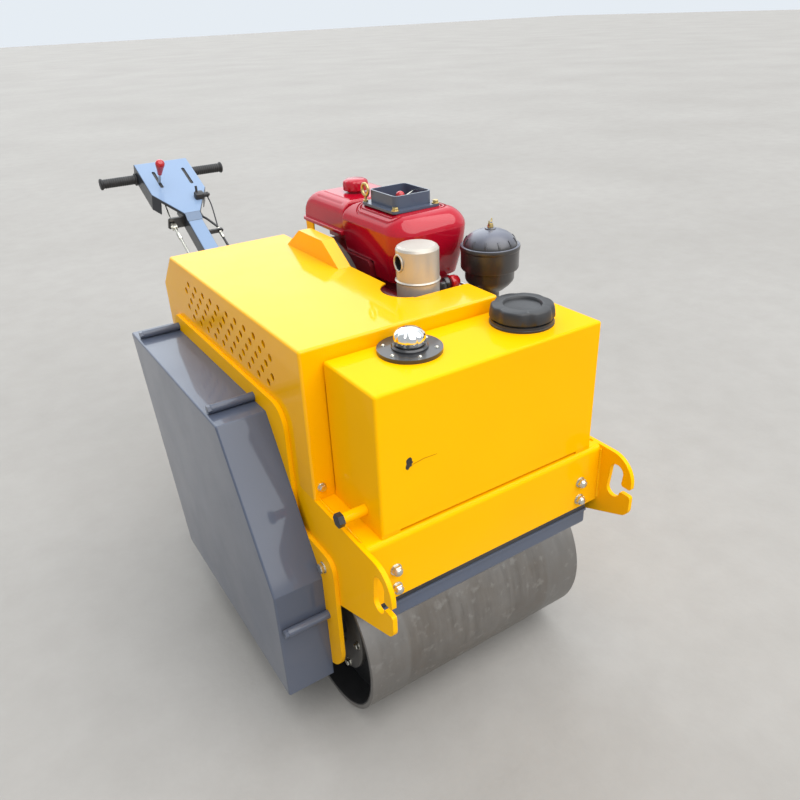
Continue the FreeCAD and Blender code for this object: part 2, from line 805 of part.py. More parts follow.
def engine_block():
    """Crankcase with feet and sump, and the cylinder's water jacket in front of it."""
    foot_z = DECK_TOP + RAIL_H
    case = [
        (JACKET_REAR_Y, SUMP_Z, 16.0),
        (CASE_REAR_Y, SUMP_Z, 46.0),
        (CASE_REAR_Y, CASE_TOP, 60.0),
        (JACKET_REAR_Y, CASE_TOP, 16.0),
    ]
    body = prism(case, "x", CASE_LEFT, CASE_RIGHT)
    jacket = prism(
        rectangle(HEAD_X, (HEAD_LOW + HEAD_TOP) / 2, 2 * HEAD_HALF - 8, HEAD_TOP - HEAD_LOW - 8, 22.0),
        "y",
        HEAD_REAR_Y,
        JACKET_REAR_Y + 1,
    )
    seat_left = CASE_LEFT + SEAT_IN
    seat_right = CASE_RIGHT - SEAT_IN
    hopper_seat = block(seat_left, seat_right, HEAD_REAR_Y + 8, JACKET_REAR_Y + 1, HEAD_TOP - 20, SHROUD_LOW)
    body = body.fuse(jacket).fuse(hopper_seat)
    for x in RAIL_X:
        foot_y = RAIL_FRONT_Y + FOOT_START
        foot = block(x - FOOT_W / 2, x + FOOT_W / 2, foot_y, CASE_REAR_Y - 10, foot_z, foot_z + FOOT_T)
        web = block(x - 7, x + 7, foot_y + 20, CASE_REAR_Y - 40, foot_z + FOOT_T, SUMP_Z + 20)
        body = body.fuse(foot).fuse(web)
    sump = prism(
        rectangle((RAIL_X[0] + RAIL_X[1]) / 2, (JACKET_REAR_Y + CASE_REAR_Y) / 2, SUMP_W, SUMP_L, 20.0),
        "z",
        DECK_TOP + 14,
        SUMP_Z + 1,
    )
    bearing_boss = rod("x", CRANK_Y, CRANK_Z, FLYWHEEL_X + FLYWHEEL_W + BOSS_GAP, CASE_LEFT + 1, 66.0)
    body = body.fuse(sump).fuse(bearing_boss)
    bore = rod("x", CRANK_Y, CRANK_Z, CASE_LEFT - 60, CASE_LEFT + CRANK_SEAT, CRANK_R + AXLE_FIT)
    return body.cut(bore)


def flywheel():
    """Rim, web and hub, with grooves for the drive belts and the crank's end."""
    left = FLYWHEEL_X
    right = FLYWHEEL_X + FLYWHEEL_W
    web = (left + right) / 2
    corners = (
        (0, left - 4),
        (30, left - 4),
        (30, left),
        (44, web - 8),
        (FLYWHEEL_R - 34, web - 8),
        (FLYWHEEL_R - 30, left),
        (FLYWHEEL_R, left),
        (FLYWHEEL_R, left + 8),
        (FLYWHEEL_R - 12, left + 13),
        (FLYWHEEL_R, left + 18),
        (FLYWHEEL_R, left + 24),
        (FLYWHEEL_R - 12, left + 29),
        (FLYWHEEL_R, left + 34),
        (FLYWHEEL_R, right),
        (FLYWHEEL_R - 30, right),
        (FLYWHEEL_R - 34, web + 8),
        (CRANK_R + 14, web + 8),
        (CRANK_R + 8, right),
        (CRANK_R, right),
        (CRANK_R, CASE_LEFT + CRANK_SEAT - 1),
        (0, CASE_LEFT + CRANK_SEAT - 1),
    )
    return turned(corners, V(0, CRANK_Y, CRANK_Z), V(1, 0, 0))


def cylinder_head():
    corners = rectangle(HEAD_X, (HEAD_LOW + HEAD_TOP) / 2, 2 * HEAD_HALF, HEAD_TOP - HEAD_LOW, 18.0)
    return prism(corners, "y", HEAD_FRONT_Y, HEAD_REAR_Y)


def valve_cover():
    width = 2 * (HEAD_HALF - VALVE_COVER_IN)
    height = HEAD_TOP - HEAD_LOW - 2 * VALVE_COVER_IN
    corners = rectangle(HEAD_X, (HEAD_LOW + HEAD_TOP) / 2, width, height, 26.0)
    cover = prism(corners, "y", HEAD_FRONT_Y - VALVE_COVER, HEAD_FRONT_Y)
    return rounded(cover, 10.0, lambda e: e.CenterOfMass.y < HEAD_FRONT_Y - VALVE_COVER + 0.1)


def gear_cover():
    """Cast cover on the right of the crankcase, with the boss of the starting shaft."""
    front = JACKET_REAR_Y + GEAR_COVER_FROM_JACKET
    rear = CASE_REAR_Y - GEAR_COVER_EDGE
    low = SUMP_Z + GEAR_COVER_EDGE
    high = CASE_TOP - 3 * GEAR_COVER_EDGE
    corners = [
        (front, low, 30.0),
        (rear, low, 60.0),
        (rear, high, 70.0),
        (front + GEAR_COVER_SLANT, high, 50.0),
        (front, high - 1.4 * GEAR_COVER_SLANT, 40.0),
    ]
    cover = prism(corners, "x", CASE_RIGHT, CASE_RIGHT + GEAR_COVER_T)
    cover = rounded(cover, 8.0, lambda e: e.CenterOfMass.x > CASE_RIGHT + GEAR_COVER_T - 0.1)
    right = CASE_RIGHT + GEAR_COVER_T
    boss = rod("x", START_Y, START_Z, right - 1, right + 16, 26.0)
    shaft = rod("x", START_Y, START_Z, right + 15, right + 16 + START_L, START_R)
    return cover.fuse(boss).fuse(shaft)


pieces["engine_rails"] = engine_rails()
pieces["engine_block"] = engine_block()
pieces["flywheel"] = flywheel()
pieces["cylinder_head"] = cylinder_head()
pieces["valve_cover"] = valve_cover()
pieces["gear_cover"] = gear_cover()


# Water hopper, funnel and float, fuel tank and cap


def hopper():
    """Pressed casing that tapers below its waist, rounded in front and on top, hollow under its funnel."""
    waist = (SHROUD_LOW + SHROUD_TOP) / 2 - 6
    front_view = [
        (SHROUD_LEFT + SHROUD_TUCK, SHROUD_LOW),
        (SHROUD_RIGHT - SHROUD_TUCK / 2, SHROUD_LOW),
        (SHROUD_RIGHT, waist),
        (SHROUD_RIGHT, SHROUD_TOP),
        (SHROUD_LEFT, SHROUD_TOP),
        (SHROUD_LEFT, waist),
    ]
    step_y = JACKET_REAR_Y - 4
    side_view = [
        (SHROUD_FRONT_Y + SHROUD_TUCK + 4, SHROUD_LOW),
        (step_y, SHROUD_LOW),
        (step_y, CASE_TOP + 2),
        (SHROUD_REAR_Y, CASE_TOP + 16),
        (SHROUD_REAR_Y, SHROUD_TOP),
        (SHROUD_FRONT_Y, SHROUD_TOP),
        (SHROUD_FRONT_Y, waist),
    ]
    body = prism(front_view, "y", SHROUD_FRONT_Y, SHROUD_REAR_Y)
    body = body.common(prism(side_view, "x", SHROUD_LEFT, SHROUD_RIGHT))
    body = rounded(
        body, SHROUD_ROUND, lambda e: e.CenterOfMass.z > waist + 1 and e.CenterOfMass.y < SHROUD_REAR_Y - 1
    )
    well = rectangle(FUNNEL_X, FUNNEL_Y, FUNNEL_W - 2 * FUNNEL_WALL, FUNNEL_L - 2 * FUNNEL_WALL, 10.0)
    return body.cut(prism(well, "z", SHROUD_TOP - WELL_DEPTH, SHROUD_TOP + 1))


def funnel():
    low = SHROUD_TOP
    flange = rectangle(FUNNEL_X, FUNNEL_Y, FUNNEL_FLANGE_W, FUNNEL_FLANGE_L, 12.0)
    outer = rectangle(FUNNEL_X, FUNNEL_Y, FUNNEL_W, FUNNEL_L, 14.0)
    inner = rectangle(FUNNEL_X, FUNNEL_Y, FUNNEL_W - 2 * FUNNEL_WALL, FUNNEL_L - 2 * FUNNEL_WALL, 10.0)
    high = low + FUNNEL_H
    body = prism(flange, "z", low, low + FUNNEL_FLANGE_T).fuse(prism(outer, "z", low, high))
    return body.cut(prism(inner, "z", low - 1, high + 1))


def float_gauge():
    """Stem standing in the hopper, with a ball that shows the water level."""
    floor = SHROUD_TOP - WELL_DEPTH
    stem = rod("z", FUNNEL_X, FUNNEL_Y, floor, SHROUD_TOP + 6, 3.0)
    low = SHROUD_TOP + 6
    ball = ((0, low), (6, low), (FLOAT_R, low + 6), (FLOAT_R, low + 12), (6, low + 18), (0, low + 18))
    return stem.fuse(turned(ball, V(FUNNEL_X, FUNNEL_Y, 0)))


def fuel_tank():
    """Pressed tank with a sloping rear and a joint flange round its foot."""
    front = SHROUD_REAR_Y + FUEL_SEAM
    front_view = [
        (SHROUD_LEFT + 4, FUEL_LOW + 8),
        (SHROUD_RIGHT - 4, FUEL_LOW + 8),
        (SHROUD_RIGHT - 4, FUEL_TOP, 36.0),
        (SHROUD_LEFT + 4, FUEL_TOP, 36.0),
    ]
    side_view = [
        (front, FUEL_LOW + 8),
        (FUEL_REAR_Y - 12, FUEL_LOW + 8),
        (FUEL_REAR_Y - 36, FUEL_TOP, 44.0),
        (front, FUEL_TOP, 12.0),
    ]
    body = prism(front_view, "y", front, FUEL_REAR_Y - 8)
    body = body.common(prism(side_view, "x", SHROUD_LEFT, SHROUD_RIGHT))
    middle = (SHROUD_LEFT + SHROUD_RIGHT) / 2
    length = FUEL_REAR_Y - front
    flange = rectangle(middle, (front + FUEL_REAR_Y) / 2, SHROUD_RIGHT - SHROUD_LEFT + 8, length, 18.0)
    body = body.fuse(prism(flange, "z", FUEL_LOW, FUEL_LOW + 9))
    seat = rectangle(middle, (front + FUEL_REAR_Y) / 2 - 16, FUEL_LEG_W, FUEL_LEG_L, 12.0)
    legs = prism(seat, "z", CASE_TOP - 1, FUEL_LOW + 1)
    return body.fuse(legs.cut(block(0, SHROUD_RIGHT, 0, FUEL_REAR_Y, 0, CASE_TOP)))


pieces["water_hopper"] = hopper()
pieces["hopper_funnel"] = funnel()
pieces["float_gauge"] = float_gauge()
pieces["fuel_tank"] = fuel_tank()
pieces["fuel_cap"] = turned(
    (
        (0, 0),
        (CAP_R - 10, 0),
        (CAP_R - 10, 5),
        (CAP_R - 1, 5),
        (CAP_R, CAP_H - 4),
        (CAP_R - 4, CAP_H),
        (0, CAP_H),
    ),
    V(CAP_X, CAP_Y, FUEL_TOP),
)


# Exhaust, air intake, injection and small controls


def muffler():
    """Can with a rolled bead and a round outlet in its side."""
    height = MUFFLER_TOP - MUFFLER_LOW
    can = turned(
        (
            (0, 0),
            (MUFFLER_R - 6, 0),
            (MUFFLER_R, 5),
            (MUFFLER_R, 44),
            (MUFFLER_R + 3, 47),
            (MUFFLER_R, 50),
            (MUFFLER_R, height - 8),
            (MUFFLER_R - 3, height - 3),
            (MUFFLER_R - 8, height),
            (0, height),
        ),
        V(MUFFLER_X, MUFFLER_Y, MUFFLER_LOW),
    )
    turn = math.radians(OUTLET_TURN)
    outward = V(math.cos(turn), math.sin(turn), 0)
    centre = V(MUFFLER_X, MUFFLER_Y, MUFFLER_LOW + OUTLET_HEIGHT)
    return can.cut(Part.makeCylinder(OUTLET_R, 30.0, centre + outward * (MUFFLER_R - 22), outward))


def exhaust_flange():
    square = rectangle(MUFFLER_X, MUFFLER_Y, EXHAUST_FLANGE, EXHAUST_FLANGE, 8.0)
    plate = prism(square, "z", HEAD_TOP, HEAD_TOP + 8)
    return plate.fuse(rod("z", MUFFLER_X, MUFFLER_Y, HEAD_TOP + 7, MUFFLER_LOW, 20.0))


def air_cleaner():
    """Oil bath cleaner: neck, oil bowl, drum with a rolled rim and a domed lid with a wing nut."""
    return turned(
        (
            (0, 0),
            (AIR_NECK_R, 0),
            (AIR_NECK_R, AIR_NECK_H),
            (AIR_NECK_R + 10, AIR_NECK_H + 8),
            (AIR_R - AIR_STEP, AIR_BOWL_H - 24),
            (AIR_R - AIR_STEP, AIR_BOWL_H),
            (AIR_R - 2, AIR_BOWL_H + 4),
            (AIR_R - 2, AIR_RIM_H - 9),
            (AIR_R, AIR_RIM_H - 7),
            (AIR_R, AIR_RIM_H),
            (AIR_R - 8, AIR_RIM_H + 3),
            (AIR_R - 18, AIR_LID_H - 19),
            (AIR_R / 2, AIR_LID_H - 7),
            (AIR_R / 5, AIR_LID_H),
            (5, AIR_LID_H),
            (5, AIR_LID_H + 13),
            (0, AIR_LID_H + 13),
        ),
        V(AIR_X, AIR_Y, AIR_LOW),
    )


def intake_elbow():
    z = (HEAD_LOW + HEAD_TOP) / 2
    start = V(HEAD_X + HEAD_HALF, AIR_Y, z)
    pipe = bent_rod([start, V(AIR_X, AIR_Y, z), V(AIR_X, AIR_Y, AIR_LOW)], INTAKE_R, 34.0)
    flange = prism(rectangle(AIR_Y, z, 2 * INTAKE_R + 6, 74.0, 10.0), "x", start.x, start.x + 8)
    return pipe.fuse(flange)


def injection_pump():
    """Pump beside the crankcase, with its delivery valve upwards."""
    body = block(CASE_RIGHT, CASE_RIGHT + 2 * PUMP_OUT, PUMP_Y - 16, PUMP_Y + 16, PUMP_TOP - 64, PUMP_TOP)
    stem = rod("z", CASE_RIGHT + PUMP_OUT, PUMP_Y, PUMP_TOP - 1, PUMP_TOP + 34, 11.0)
    nut = hexagon("z", CASE_RIGHT + PUMP_OUT, PUMP_Y, PUMP_TOP + 33, PUMP_TOP + 46, 17.0)
    return body.fuse(stem).fuse(nut)


def injector_line():
    """Steel pipe from the pump forward to the head, held at both ends."""
    x = CASE_RIGHT + PUMP_OUT
    low = PUMP_TOP + 46
    high = HEAD_TOP - 16
    end_y = HEAD_REAR_Y - 18
    start = V(x, PUMP_Y, low)
    end = V(HEAD_X + HEAD_HALF, end_y, high)
    return bent_rod([start, V(x, PUMP_Y, high), V(x, end_y, high), end], 3.5, 14.0)


def lifting_eye():
    """Ring on a stem at the funnel flange's rear corner."""
    x = FUNNEL_X - FUNNEL_FLANGE_W / 2 + 9
    y = FUNNEL_Y + FUNNEL_FLANGE_L / 2 - 9
    low = SHROUD_TOP + FUNNEL_FLANGE_T
    stem = rod("z", x, y, low, low + 14, 3.0)
    ring = rod("x", y, low + 14 + EYE_R, x - 4, x + 4, EYE_R + 4)
    return stem.fuse(ring).cut(rod("x", y, low + 14 + EYE_R, x - 5, x + 5, EYE_R - 4))


def decompressor():
    """Small lever on its boss, on top of the head."""
    x = HEAD_X + 10
    y = HEAD_FRONT_Y + 28
    high = HEAD_TOP + DECOMPRESSOR_H
    boss = rod("z", x, y, HEAD_TOP, high, 14.0)
    arm = rod("y", x, high - 6, y, y + DECOMPRESSOR_L, 6.0)
    arm.rotate(V(x, y, high - 6), V(0, 0, 1), DECOMPRESSOR_TURN)
    return boss.fuse(arm)


pieces["muffler"] = muffler()
pieces["exhaust_flange"] = exhaust_flange()
pieces["air_cleaner"] = air_cleaner()
pieces["intake_elbow"] = intake_elbow()
pieces["injection_pump"] = injection_pump()
pieces["injector_line"] = injector_line()
pieces["lifting_eye"] = lifting_eye()
pieces["decompressor"] = decompressor()


# Handle: fork on the rear beam, hinged box arm, console with its bar, levers and rods


def on_arm(along_arm, above, x=0.0):
    """Point in the arm's own directions, measured from the hinge pin."""
    turn = math.radians(ARM_SLOPE)
    y = PIVOT_Y + along_arm * math.cos(turn) - above * math.sin(turn)
    z = PIVOT_Z + along_arm * math.sin(turn) + above * math.cos(turn)
    return V(x, y, z)


def laid_on_arm(shape):
    """Turns and moves a shape drawn along Y from the pin to the arm's slope."""
    shape.rotate(V(0, 0, 0), V(1, 0, 0), ARM_SLOPE)
    return shape.translated(V(0, PIVOT_Y, PIVOT_Z))


def handle_fork():
    """Two ears on the rear beam, joined by the bar that the arm rests on."""
    stop = on_arm(STOP_ALONG, -ARM_H / 2 - STOP_R - STOP_SEAT)
    inner = ARM_W / 2 + FORK_GAP
    outer = inner + FORK_T
    corners = [
        (BEAM_FACE_Y, FORK_LOW, 0.0),
        (stop.y - 24, FORK_LOW, 16.0),
        (stop.y + 22, stop.z - 22, 16.0),
        (stop.y + 22, stop.z + 20, 18.0),
        (PIVOT_Y + 24, PIVOT_Z + 44, 34.0),
        (BEAM_FACE_Y, DECK_TOP - DECK - 4, 0.0),
    ]
    ear = prism(corners, "x", inner, outer).cut(rod("x", PIVOT_Y, PIVOT_Z, 0, outer + 1, PIN_D / 2))
    bar = rod("x", stop.y, stop.z, -inner - 1, inner + 1, STOP_R)
    return ear.fuse(mirrored(ear)).fuse(bar)


def handle_pin():
    outer = ARM_W / 2 + FORK_GAP + FORK_T
    pin = rod("x", PIVOT_Y, PIVOT_Z, -outer - 8, outer, PIN_D / 2)
    head = rod("x", PIVOT_Y, PIVOT_Z, outer, outer + 8, PIN_D / 2 + 6)
    return pin.fuse(head)


def handle_arm():
    """Square tube with a solid eye at the pin."""
    half = ARM_W / 2
    tall = ARM_H / 2
    start = tall * 0.6
    tube = block(-half, half, start, ARM_LENGTH, -tall, tall)
    tube = rounded(tube, 5.0, lambda e: runs_along(e, "y"))
    inside = half - ARM_WALL
    deep = tall - ARM_WALL
    tube = tube.cut(block(-inside, inside, start + 30, ARM_LENGTH + 1, -deep, deep))
    eye = rod("x", 0, 0, -half, half, tall).fuse(block(-half, half, 0, start + 1, -tall, tall))
    arm = tube.fuse(eye).cut(rod("x", 0, 0, -half - 1, half + 1, PIN_D / 2 + PIN_FIT))
    return laid_on_arm(arm)


def console_outline(depth):
    """Plan of the console from its front, at the arm, to its rear, with its wall's depth taken off."""
    half = CONSOLE_W / 2 - depth
    narrow = ARM_W / 2 + CONSOLE_WALL - depth
    rear = -depth
    front = -CONSOLE_WIDE - CONSOLE_TAPER
    if depth:
        front = front - 1
    right = [(narrow, front), (half, -CONSOLE_WIDE), (half, rear)]
    return right + [(-x, y) for x, y in reversed(right)]


def on_console(shape):
    """Turns a shape drawn flat, rear edge at Y = 0 and top at Z = 0, to the console's slope."""
    shape.rotate(V(0, 0, 0), V(1, 0, 0), CONSOLE_SLOPE)
    return shape.translated(on_arm(ARM_LENGTH + CONSOLE_PAST, CONSOLE_ABOVE))


def console():
    """Folded sheet housing, open below, with two lever slots and holes for the bar."""
    shell = prism(console_outline(0), "z", -CONSOLE_DEPTH, 0)
    shell = rounded(shell, 4.0, lambda e: e.CenterOfMass.z > -0.1)
    shell = shell.cut(prism(console_outline(CONSOLE_WALL), "z", -CONSOLE_DEPTH - 1, -CONSOLE_WALL))
    front = -CONSOLE_WIDE - CONSOLE_TAPER - 1
    flap = -CONSOLE_WIDE - CONSOLE_FLAP
    under = block(-CONSOLE_W, CONSOLE_W, front, flap, -CONSOLE_DEPTH - 1, -CONSOLE_LIP)
    shell = shell.cut(under)
    cheek_rear = front + CHEEK_L
    cheek_side = [(front + 1, -1), (front + 1, -CHEEK_DOWN), (cheek_rear, -CHEEK_DOWN - 16), (cheek_rear, -1)]
    cheek = prism(cheek_side, "x", ARM_W / 2 + CHEEK_SEAT, ARM_W / 2 + CONSOLE_WALL)
    shell = shell.fuse(cheek).fuse(mirrored(cheek))
    for x in LEVER_SLOTS:
        slot = prism(rectangle(x, LEVER_SLOT_Y, 12.0, LEVER_SLOT_L, 5.9), "z", -CONSOLE_WALL - 1, 1)
        shell = shell.cut(slot)
    bar = rod("x", -BAR_BACK, -BAR_DOWN, -CONSOLE_W, CONSOLE_W, BAR_D / 2)
    return on_console(shell.cut(bar))


def handlebar():
    bar = rod("x", -BAR_BACK, -BAR_DOWN, -BAR_L / 2, BAR_L / 2, BAR_D / 2)
    return on_console(bar)


def grips():
    """Sleeves with a collar at each end, closed over the bar's ends."""
    low = CONSOLE_W / 2 + 2
    high = BAR_L / 2 + 5
    corners = (
        (BAR_D / 2, low),
        (GRIP_D / 2 + 6, low),
        (GRIP_D / 2 + 6, low + 5),
        (GRIP_D / 2, low + 6),
        (GRIP_D / 2, high - 10),
        (GRIP_D / 2 + 4, high - 6),
        (GRIP_D / 2 + 4, high - 2),
        (GRIP_D / 2, high),
        (0, high),
        (0, BAR_L / 2),
        (BAR_D / 2, BAR_L / 2),
    )
    grip = turned(corners, V(0, -BAR_BACK, -BAR_DOWN), V(1, 0, 0))
    return on_console(Part.makeCompound([grip, mirrored(grip)]))


def travel_lever():
    """Round lever through the left slot, hung from a cross pin under the console's top."""
    foot = V(LEVER_SLOTS[0], LEVER_Y, -CONSOLE_DEPTH + 10)
    stem = Part.makeCylinder(4.5, LEVER_L, foot, V(0, LEVER_LEAN, 1))
    pin = rod("x", foot.y, foot.z + 4, -CONSOLE_W / 2 + CONSOLE_WALL, foot.x + 8, 5.0)
    return on_console(stem.fuse(pin))


def lever_knob():
    foot = V(LEVER_SLOTS[0], LEVER_Y, -CONSOLE_DEPTH + 10)
    upward = V(0, LEVER_LEAN, 1).normalize()
    profile = (
        (0, 0),
        (7, 0),
        (16, KNOB_TALL - 22),
        (17, KNOB_TALL - 14),
        (13, KNOB_TALL - 4),
        (6, KNOB_TALL),
        (0, KNOB_TALL),
    )
    knob = turned(profile, foot + upward * LEVER_L, upward)
    return on_console(knob)


def throttle_lever():
    """Throttle clamp on the console's top, with its thumb lever and the cable's end barrel."""
    clamp = block(THROTTLE_X - 17, THROTTLE_X + 17, THROTTLE_Y - 15, THROTTLE_Y + 15, 0, 22)
    clamp = rounded(clamp, 6.0, lambda e: e.CenterOfMass.z > 1)
    barrel = rod("x", THROTTLE_Y - 4, 10, THROTTLE_X + 15, THROTTLE_X + 34, 9.0)
    thumb = Part.makeCylinder(4.0, 38.0, V(THROTTLE_X - 4, THROTTLE_Y, 16), V(0.1, 0.35, 0.9))
    return on_console(clamp.fuse(barrel).fuse(thumb))


def control_rods():
    """A rod down each side of the arm, held by a lug at the top and one near the pin."""
    shapes = []
    for x, above, low, short, tall in CONTROL_RODS:
        high = ARM_LENGTH - short
        side = math.copysign(1.0, x)
        reach = abs(x) + 8
        bar = rod("y", x, above, low, high, 5.0)
        buckle = hexagon("y", x, above, high - 96, high - 36, 15.0)
        shape = bar.fuse(buckle)
        for y in (low + 12, high - 12):
            flat = sorted((side * ARM_W / 2, side * reach))
            shape = shape.fuse(block(flat[0], flat[1], y - 4, y + 4, above - tall, above + tall))
        shapes.append(laid_on_arm(shape))
    return Part.makeCompound(shapes)


pieces["handle_fork"] = handle_fork()
pieces["handle_pin"] = handle_pin()
pieces["handle_arm"] = handle_arm()
pieces["console"] = console()
pieces["handlebar"] = handlebar()
pieces["grips"] = grips()
pieces["travel_lever"] = travel_lever()
pieces["lever_knob"] = lever_knob()
pieces["throttle_lever"] = throttle_lever()
pieces["control_rods"] = control_rods()


# The part's origin: on the ground, at the middle of the outline in plan


def save_all():
    whole = Part.makeCompound(list(pieces.values())).BoundBox
    shift = V(-(whole.XMin + whole.XMax) / 2, -(whole.YMin + whole.YMax) / 2, 0)
    os.makedirs("parts", exist_ok=True)
    for name, shape in pieces.items():
        shape.translated(shift).exportStep("parts/" + name + ".step")


save_all()
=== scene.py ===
import math

import bmesh
import bpy
from mathutils import Matrix, Vector


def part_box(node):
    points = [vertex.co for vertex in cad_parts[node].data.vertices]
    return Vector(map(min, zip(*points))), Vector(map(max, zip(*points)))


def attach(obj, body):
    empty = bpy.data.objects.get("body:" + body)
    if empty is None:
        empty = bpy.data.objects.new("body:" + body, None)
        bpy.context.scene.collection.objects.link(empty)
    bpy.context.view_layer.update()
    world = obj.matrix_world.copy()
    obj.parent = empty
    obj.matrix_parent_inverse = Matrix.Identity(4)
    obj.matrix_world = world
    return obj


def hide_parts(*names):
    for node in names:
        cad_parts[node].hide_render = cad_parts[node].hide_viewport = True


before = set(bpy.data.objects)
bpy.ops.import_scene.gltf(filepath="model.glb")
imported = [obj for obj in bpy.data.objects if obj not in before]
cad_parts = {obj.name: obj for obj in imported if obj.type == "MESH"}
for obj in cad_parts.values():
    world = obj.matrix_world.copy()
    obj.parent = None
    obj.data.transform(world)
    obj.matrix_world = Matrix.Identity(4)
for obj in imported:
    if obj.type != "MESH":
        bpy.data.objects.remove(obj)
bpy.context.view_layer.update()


# Where the machine stands, and how it is looked at
# Places are given in millimetres from the machine's middle on the ground: X to its
# right, Y to the rear, Z up. The camera stands at its front left, above head height.

drum_low, drum_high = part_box("front_drum")
rear_low, rear_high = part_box("rear_drum")
MIDDLE_X = (drum_low[0] + drum_high[0]) / 2
MIDDLE_Y = (drum_low[1] + rear_high[1]) / 2


def spot(x, y, z):
    return Vector((MIDDLE_X + x / 1000, MIDDLE_Y + y / 1000, z / 1000))


CAMERA_YAW = -0.558
CAMERA_PITCH = -0.493
CAMERA_ROLL = -0.045

look = Vector(
    (
        math.sin(-CAMERA_YAW) * math.cos(CAMERA_PITCH),
        math.cos(CAMERA_YAW) * math.cos(CAMERA_PITCH),
        math.sin(CAMERA_PITCH),
    )
)
level_right = look.cross(Vector((0, 0, 1))).normalized()
level_up = level_right.cross(look)
camera_right = level_right * math.cos(CAMERA_ROLL) + level_up * math.sin(CAMERA_ROLL)
camera_up = level_up * math.cos(CAMERA_ROLL) - level_right * math.sin(CAMERA_ROLL)
camera = bpy.data.objects.new("photo_camera", bpy.data.cameras.new("photo_camera"))
bpy.context.scene.collection.objects.link(camera)
camera.matrix_world = Matrix.Translation(spot(-801.3, -1435.1, 1470.2)) @ Matrix(
    (camera_right, camera_up, -look)
).transposed().to_4x4()
camera.data.lens = 32.72
camera.data.sensor_width = 36
camera.data.clip_start = 0.05
bpy.context.scene.camera = camera
bpy.context.scene.view_settings.view_transform = "Standard"


# Yard floor, sky and lamps
# A pale concrete yard under a hazy sky that is brightest high up behind the machine. A
# veiled sun stands high in front; the right side and the rear get a weak light.


def plain_material(name):
    """New material, its shader and its node tree."""
    material = bpy.data.materials.new(name)
    material.use_nodes = True
    tree = material.node_tree
    return material, tree.nodes["Principled BSDF"], tree


def node(tree, kind, values=(), **settings):
    """New shader node with its settings and its unlinked sockets' values."""
    made = tree.nodes.new("ShaderNode" + kind)
    for key, value in settings.items():
        setattr(made, key, value)
    for key, value in dict(values).items():
        made.inputs[key].default_value = value
    return made


def cloudiness(tree, scale, detail=3.0, low=0.35, high=0.65, rough=0.5, stretch=(1, 1, 1)):
    """Soft patches from 0 to 1 over the surface, scale in patches per metre."""
    place = node(tree, "TexCoord")
    mapping = node(tree, "Mapping", {"Scale": stretch})
    noise = node(tree, "TexNoise", {"Scale": scale, "Detail": detail, "Roughness": rough})
    spread = node(tree, "MapRange", {"From Min": low, "From Max": high})
    tree.links.new(place.outputs["Object"], mapping.inputs["Vector"])
    tree.links.new(mapping.outputs["Vector"], noise.inputs["Vector"])
    tree.links.new(noise.outputs["Fac"], spread.inputs["Value"])
    return spread.outputs["Result"]


def blended(tree, amount, first, second, strength=1.0):
    """Colour that goes from first to second with amount; each may be a colour or a socket."""
    mix = node(tree, "Mix", data_type="RGBA")
    for socket, colour in ((6, first), (7, second)):
        if isinstance(colour, tuple):
            mix.inputs[socket].default_value = (*colour, 1)
        else:
            tree.links.new(colour, mix.inputs[socket])
    scaled = node(tree, "Math", {1: strength}, operation="MULTIPLY")
    tree.links.new(amount, scaled.inputs[0])
    tree.links.new(scaled.outputs[0], mix.inputs[0])
    return mix.outputs[2]


def ranged(tree, amount, low, high):
    """Number that goes from low to high with amount."""
    spread = node(tree, "MapRange", {"To Min": low, "To Max": high})
    tree.links.new(amount, spread.inputs["Value"])
    return spread.outputs["Result"]


def relief(tree, shader, height, strength, distance=0.001, edge=0.0):
    """Bump from height, on top of edges rounded by edge metres."""
    bump = node(tree, "Bump", {"Strength": strength, "Distance": distance})
    tree.links.new(height, bump.inputs["Height"])
    if edge:
        rounding = node(tree, "Bevel", {"Radius": edge}, samples=4)
        tree.links.new(rounding.outputs["Normal"], bump.inputs["Normal"])
    tree.links.new(bump.outputs["Normal"], shader.inputs["Normal"])


def mesh_object(name, shape, material, smooth=35.0):
    """Object from a bmesh, smooth where faces meet at less than that many degrees."""
    bmesh.ops.recalc_face_normals(shape, faces=shape.faces)
    mesh = bpy.data.meshes.new(name)
    shape.to_mesh(mesh)
    shape.free()
    mesh.materials.append(material)
    made = bpy.data.objects.new(name, mesh)
    bpy.context.scene.collection.objects.link(made)
    if smooth:
        mesh.shade_smooth()
        mesh.set_sharp_from_angle(angle=math.radians(smooth))
    return made


FLOOR_HALF = 70.0
concrete, shader, tree = plain_material("yard_concrete")
patches = cloudiness(tree, 0.55, 6.0, 0.3, 0.7)
shade = blended(tree, patches, (0.285, 0.272, 0.255), (0.325, 0.312, 0.295))
shade = blended(tree, cloudiness(tree, 7.0, 8.0, 0.35, 0.75, 0.65), shade, (0.235, 0.222, 0.205), 0.35)
tree.links.new(shade, shader.inputs["Base Color"])
shader.inputs["Roughness"].default_value = 0.8
relief(tree, shader, cloudiness(tree, 60.0, 6.0), 0.12, 0.002)
yard = bmesh.new()
bmesh.ops.create_grid(yard, x_segments=2, y_segments=2, size=FLOOR_HALF)
floor = mesh_object("yard_floor", yard, concrete)

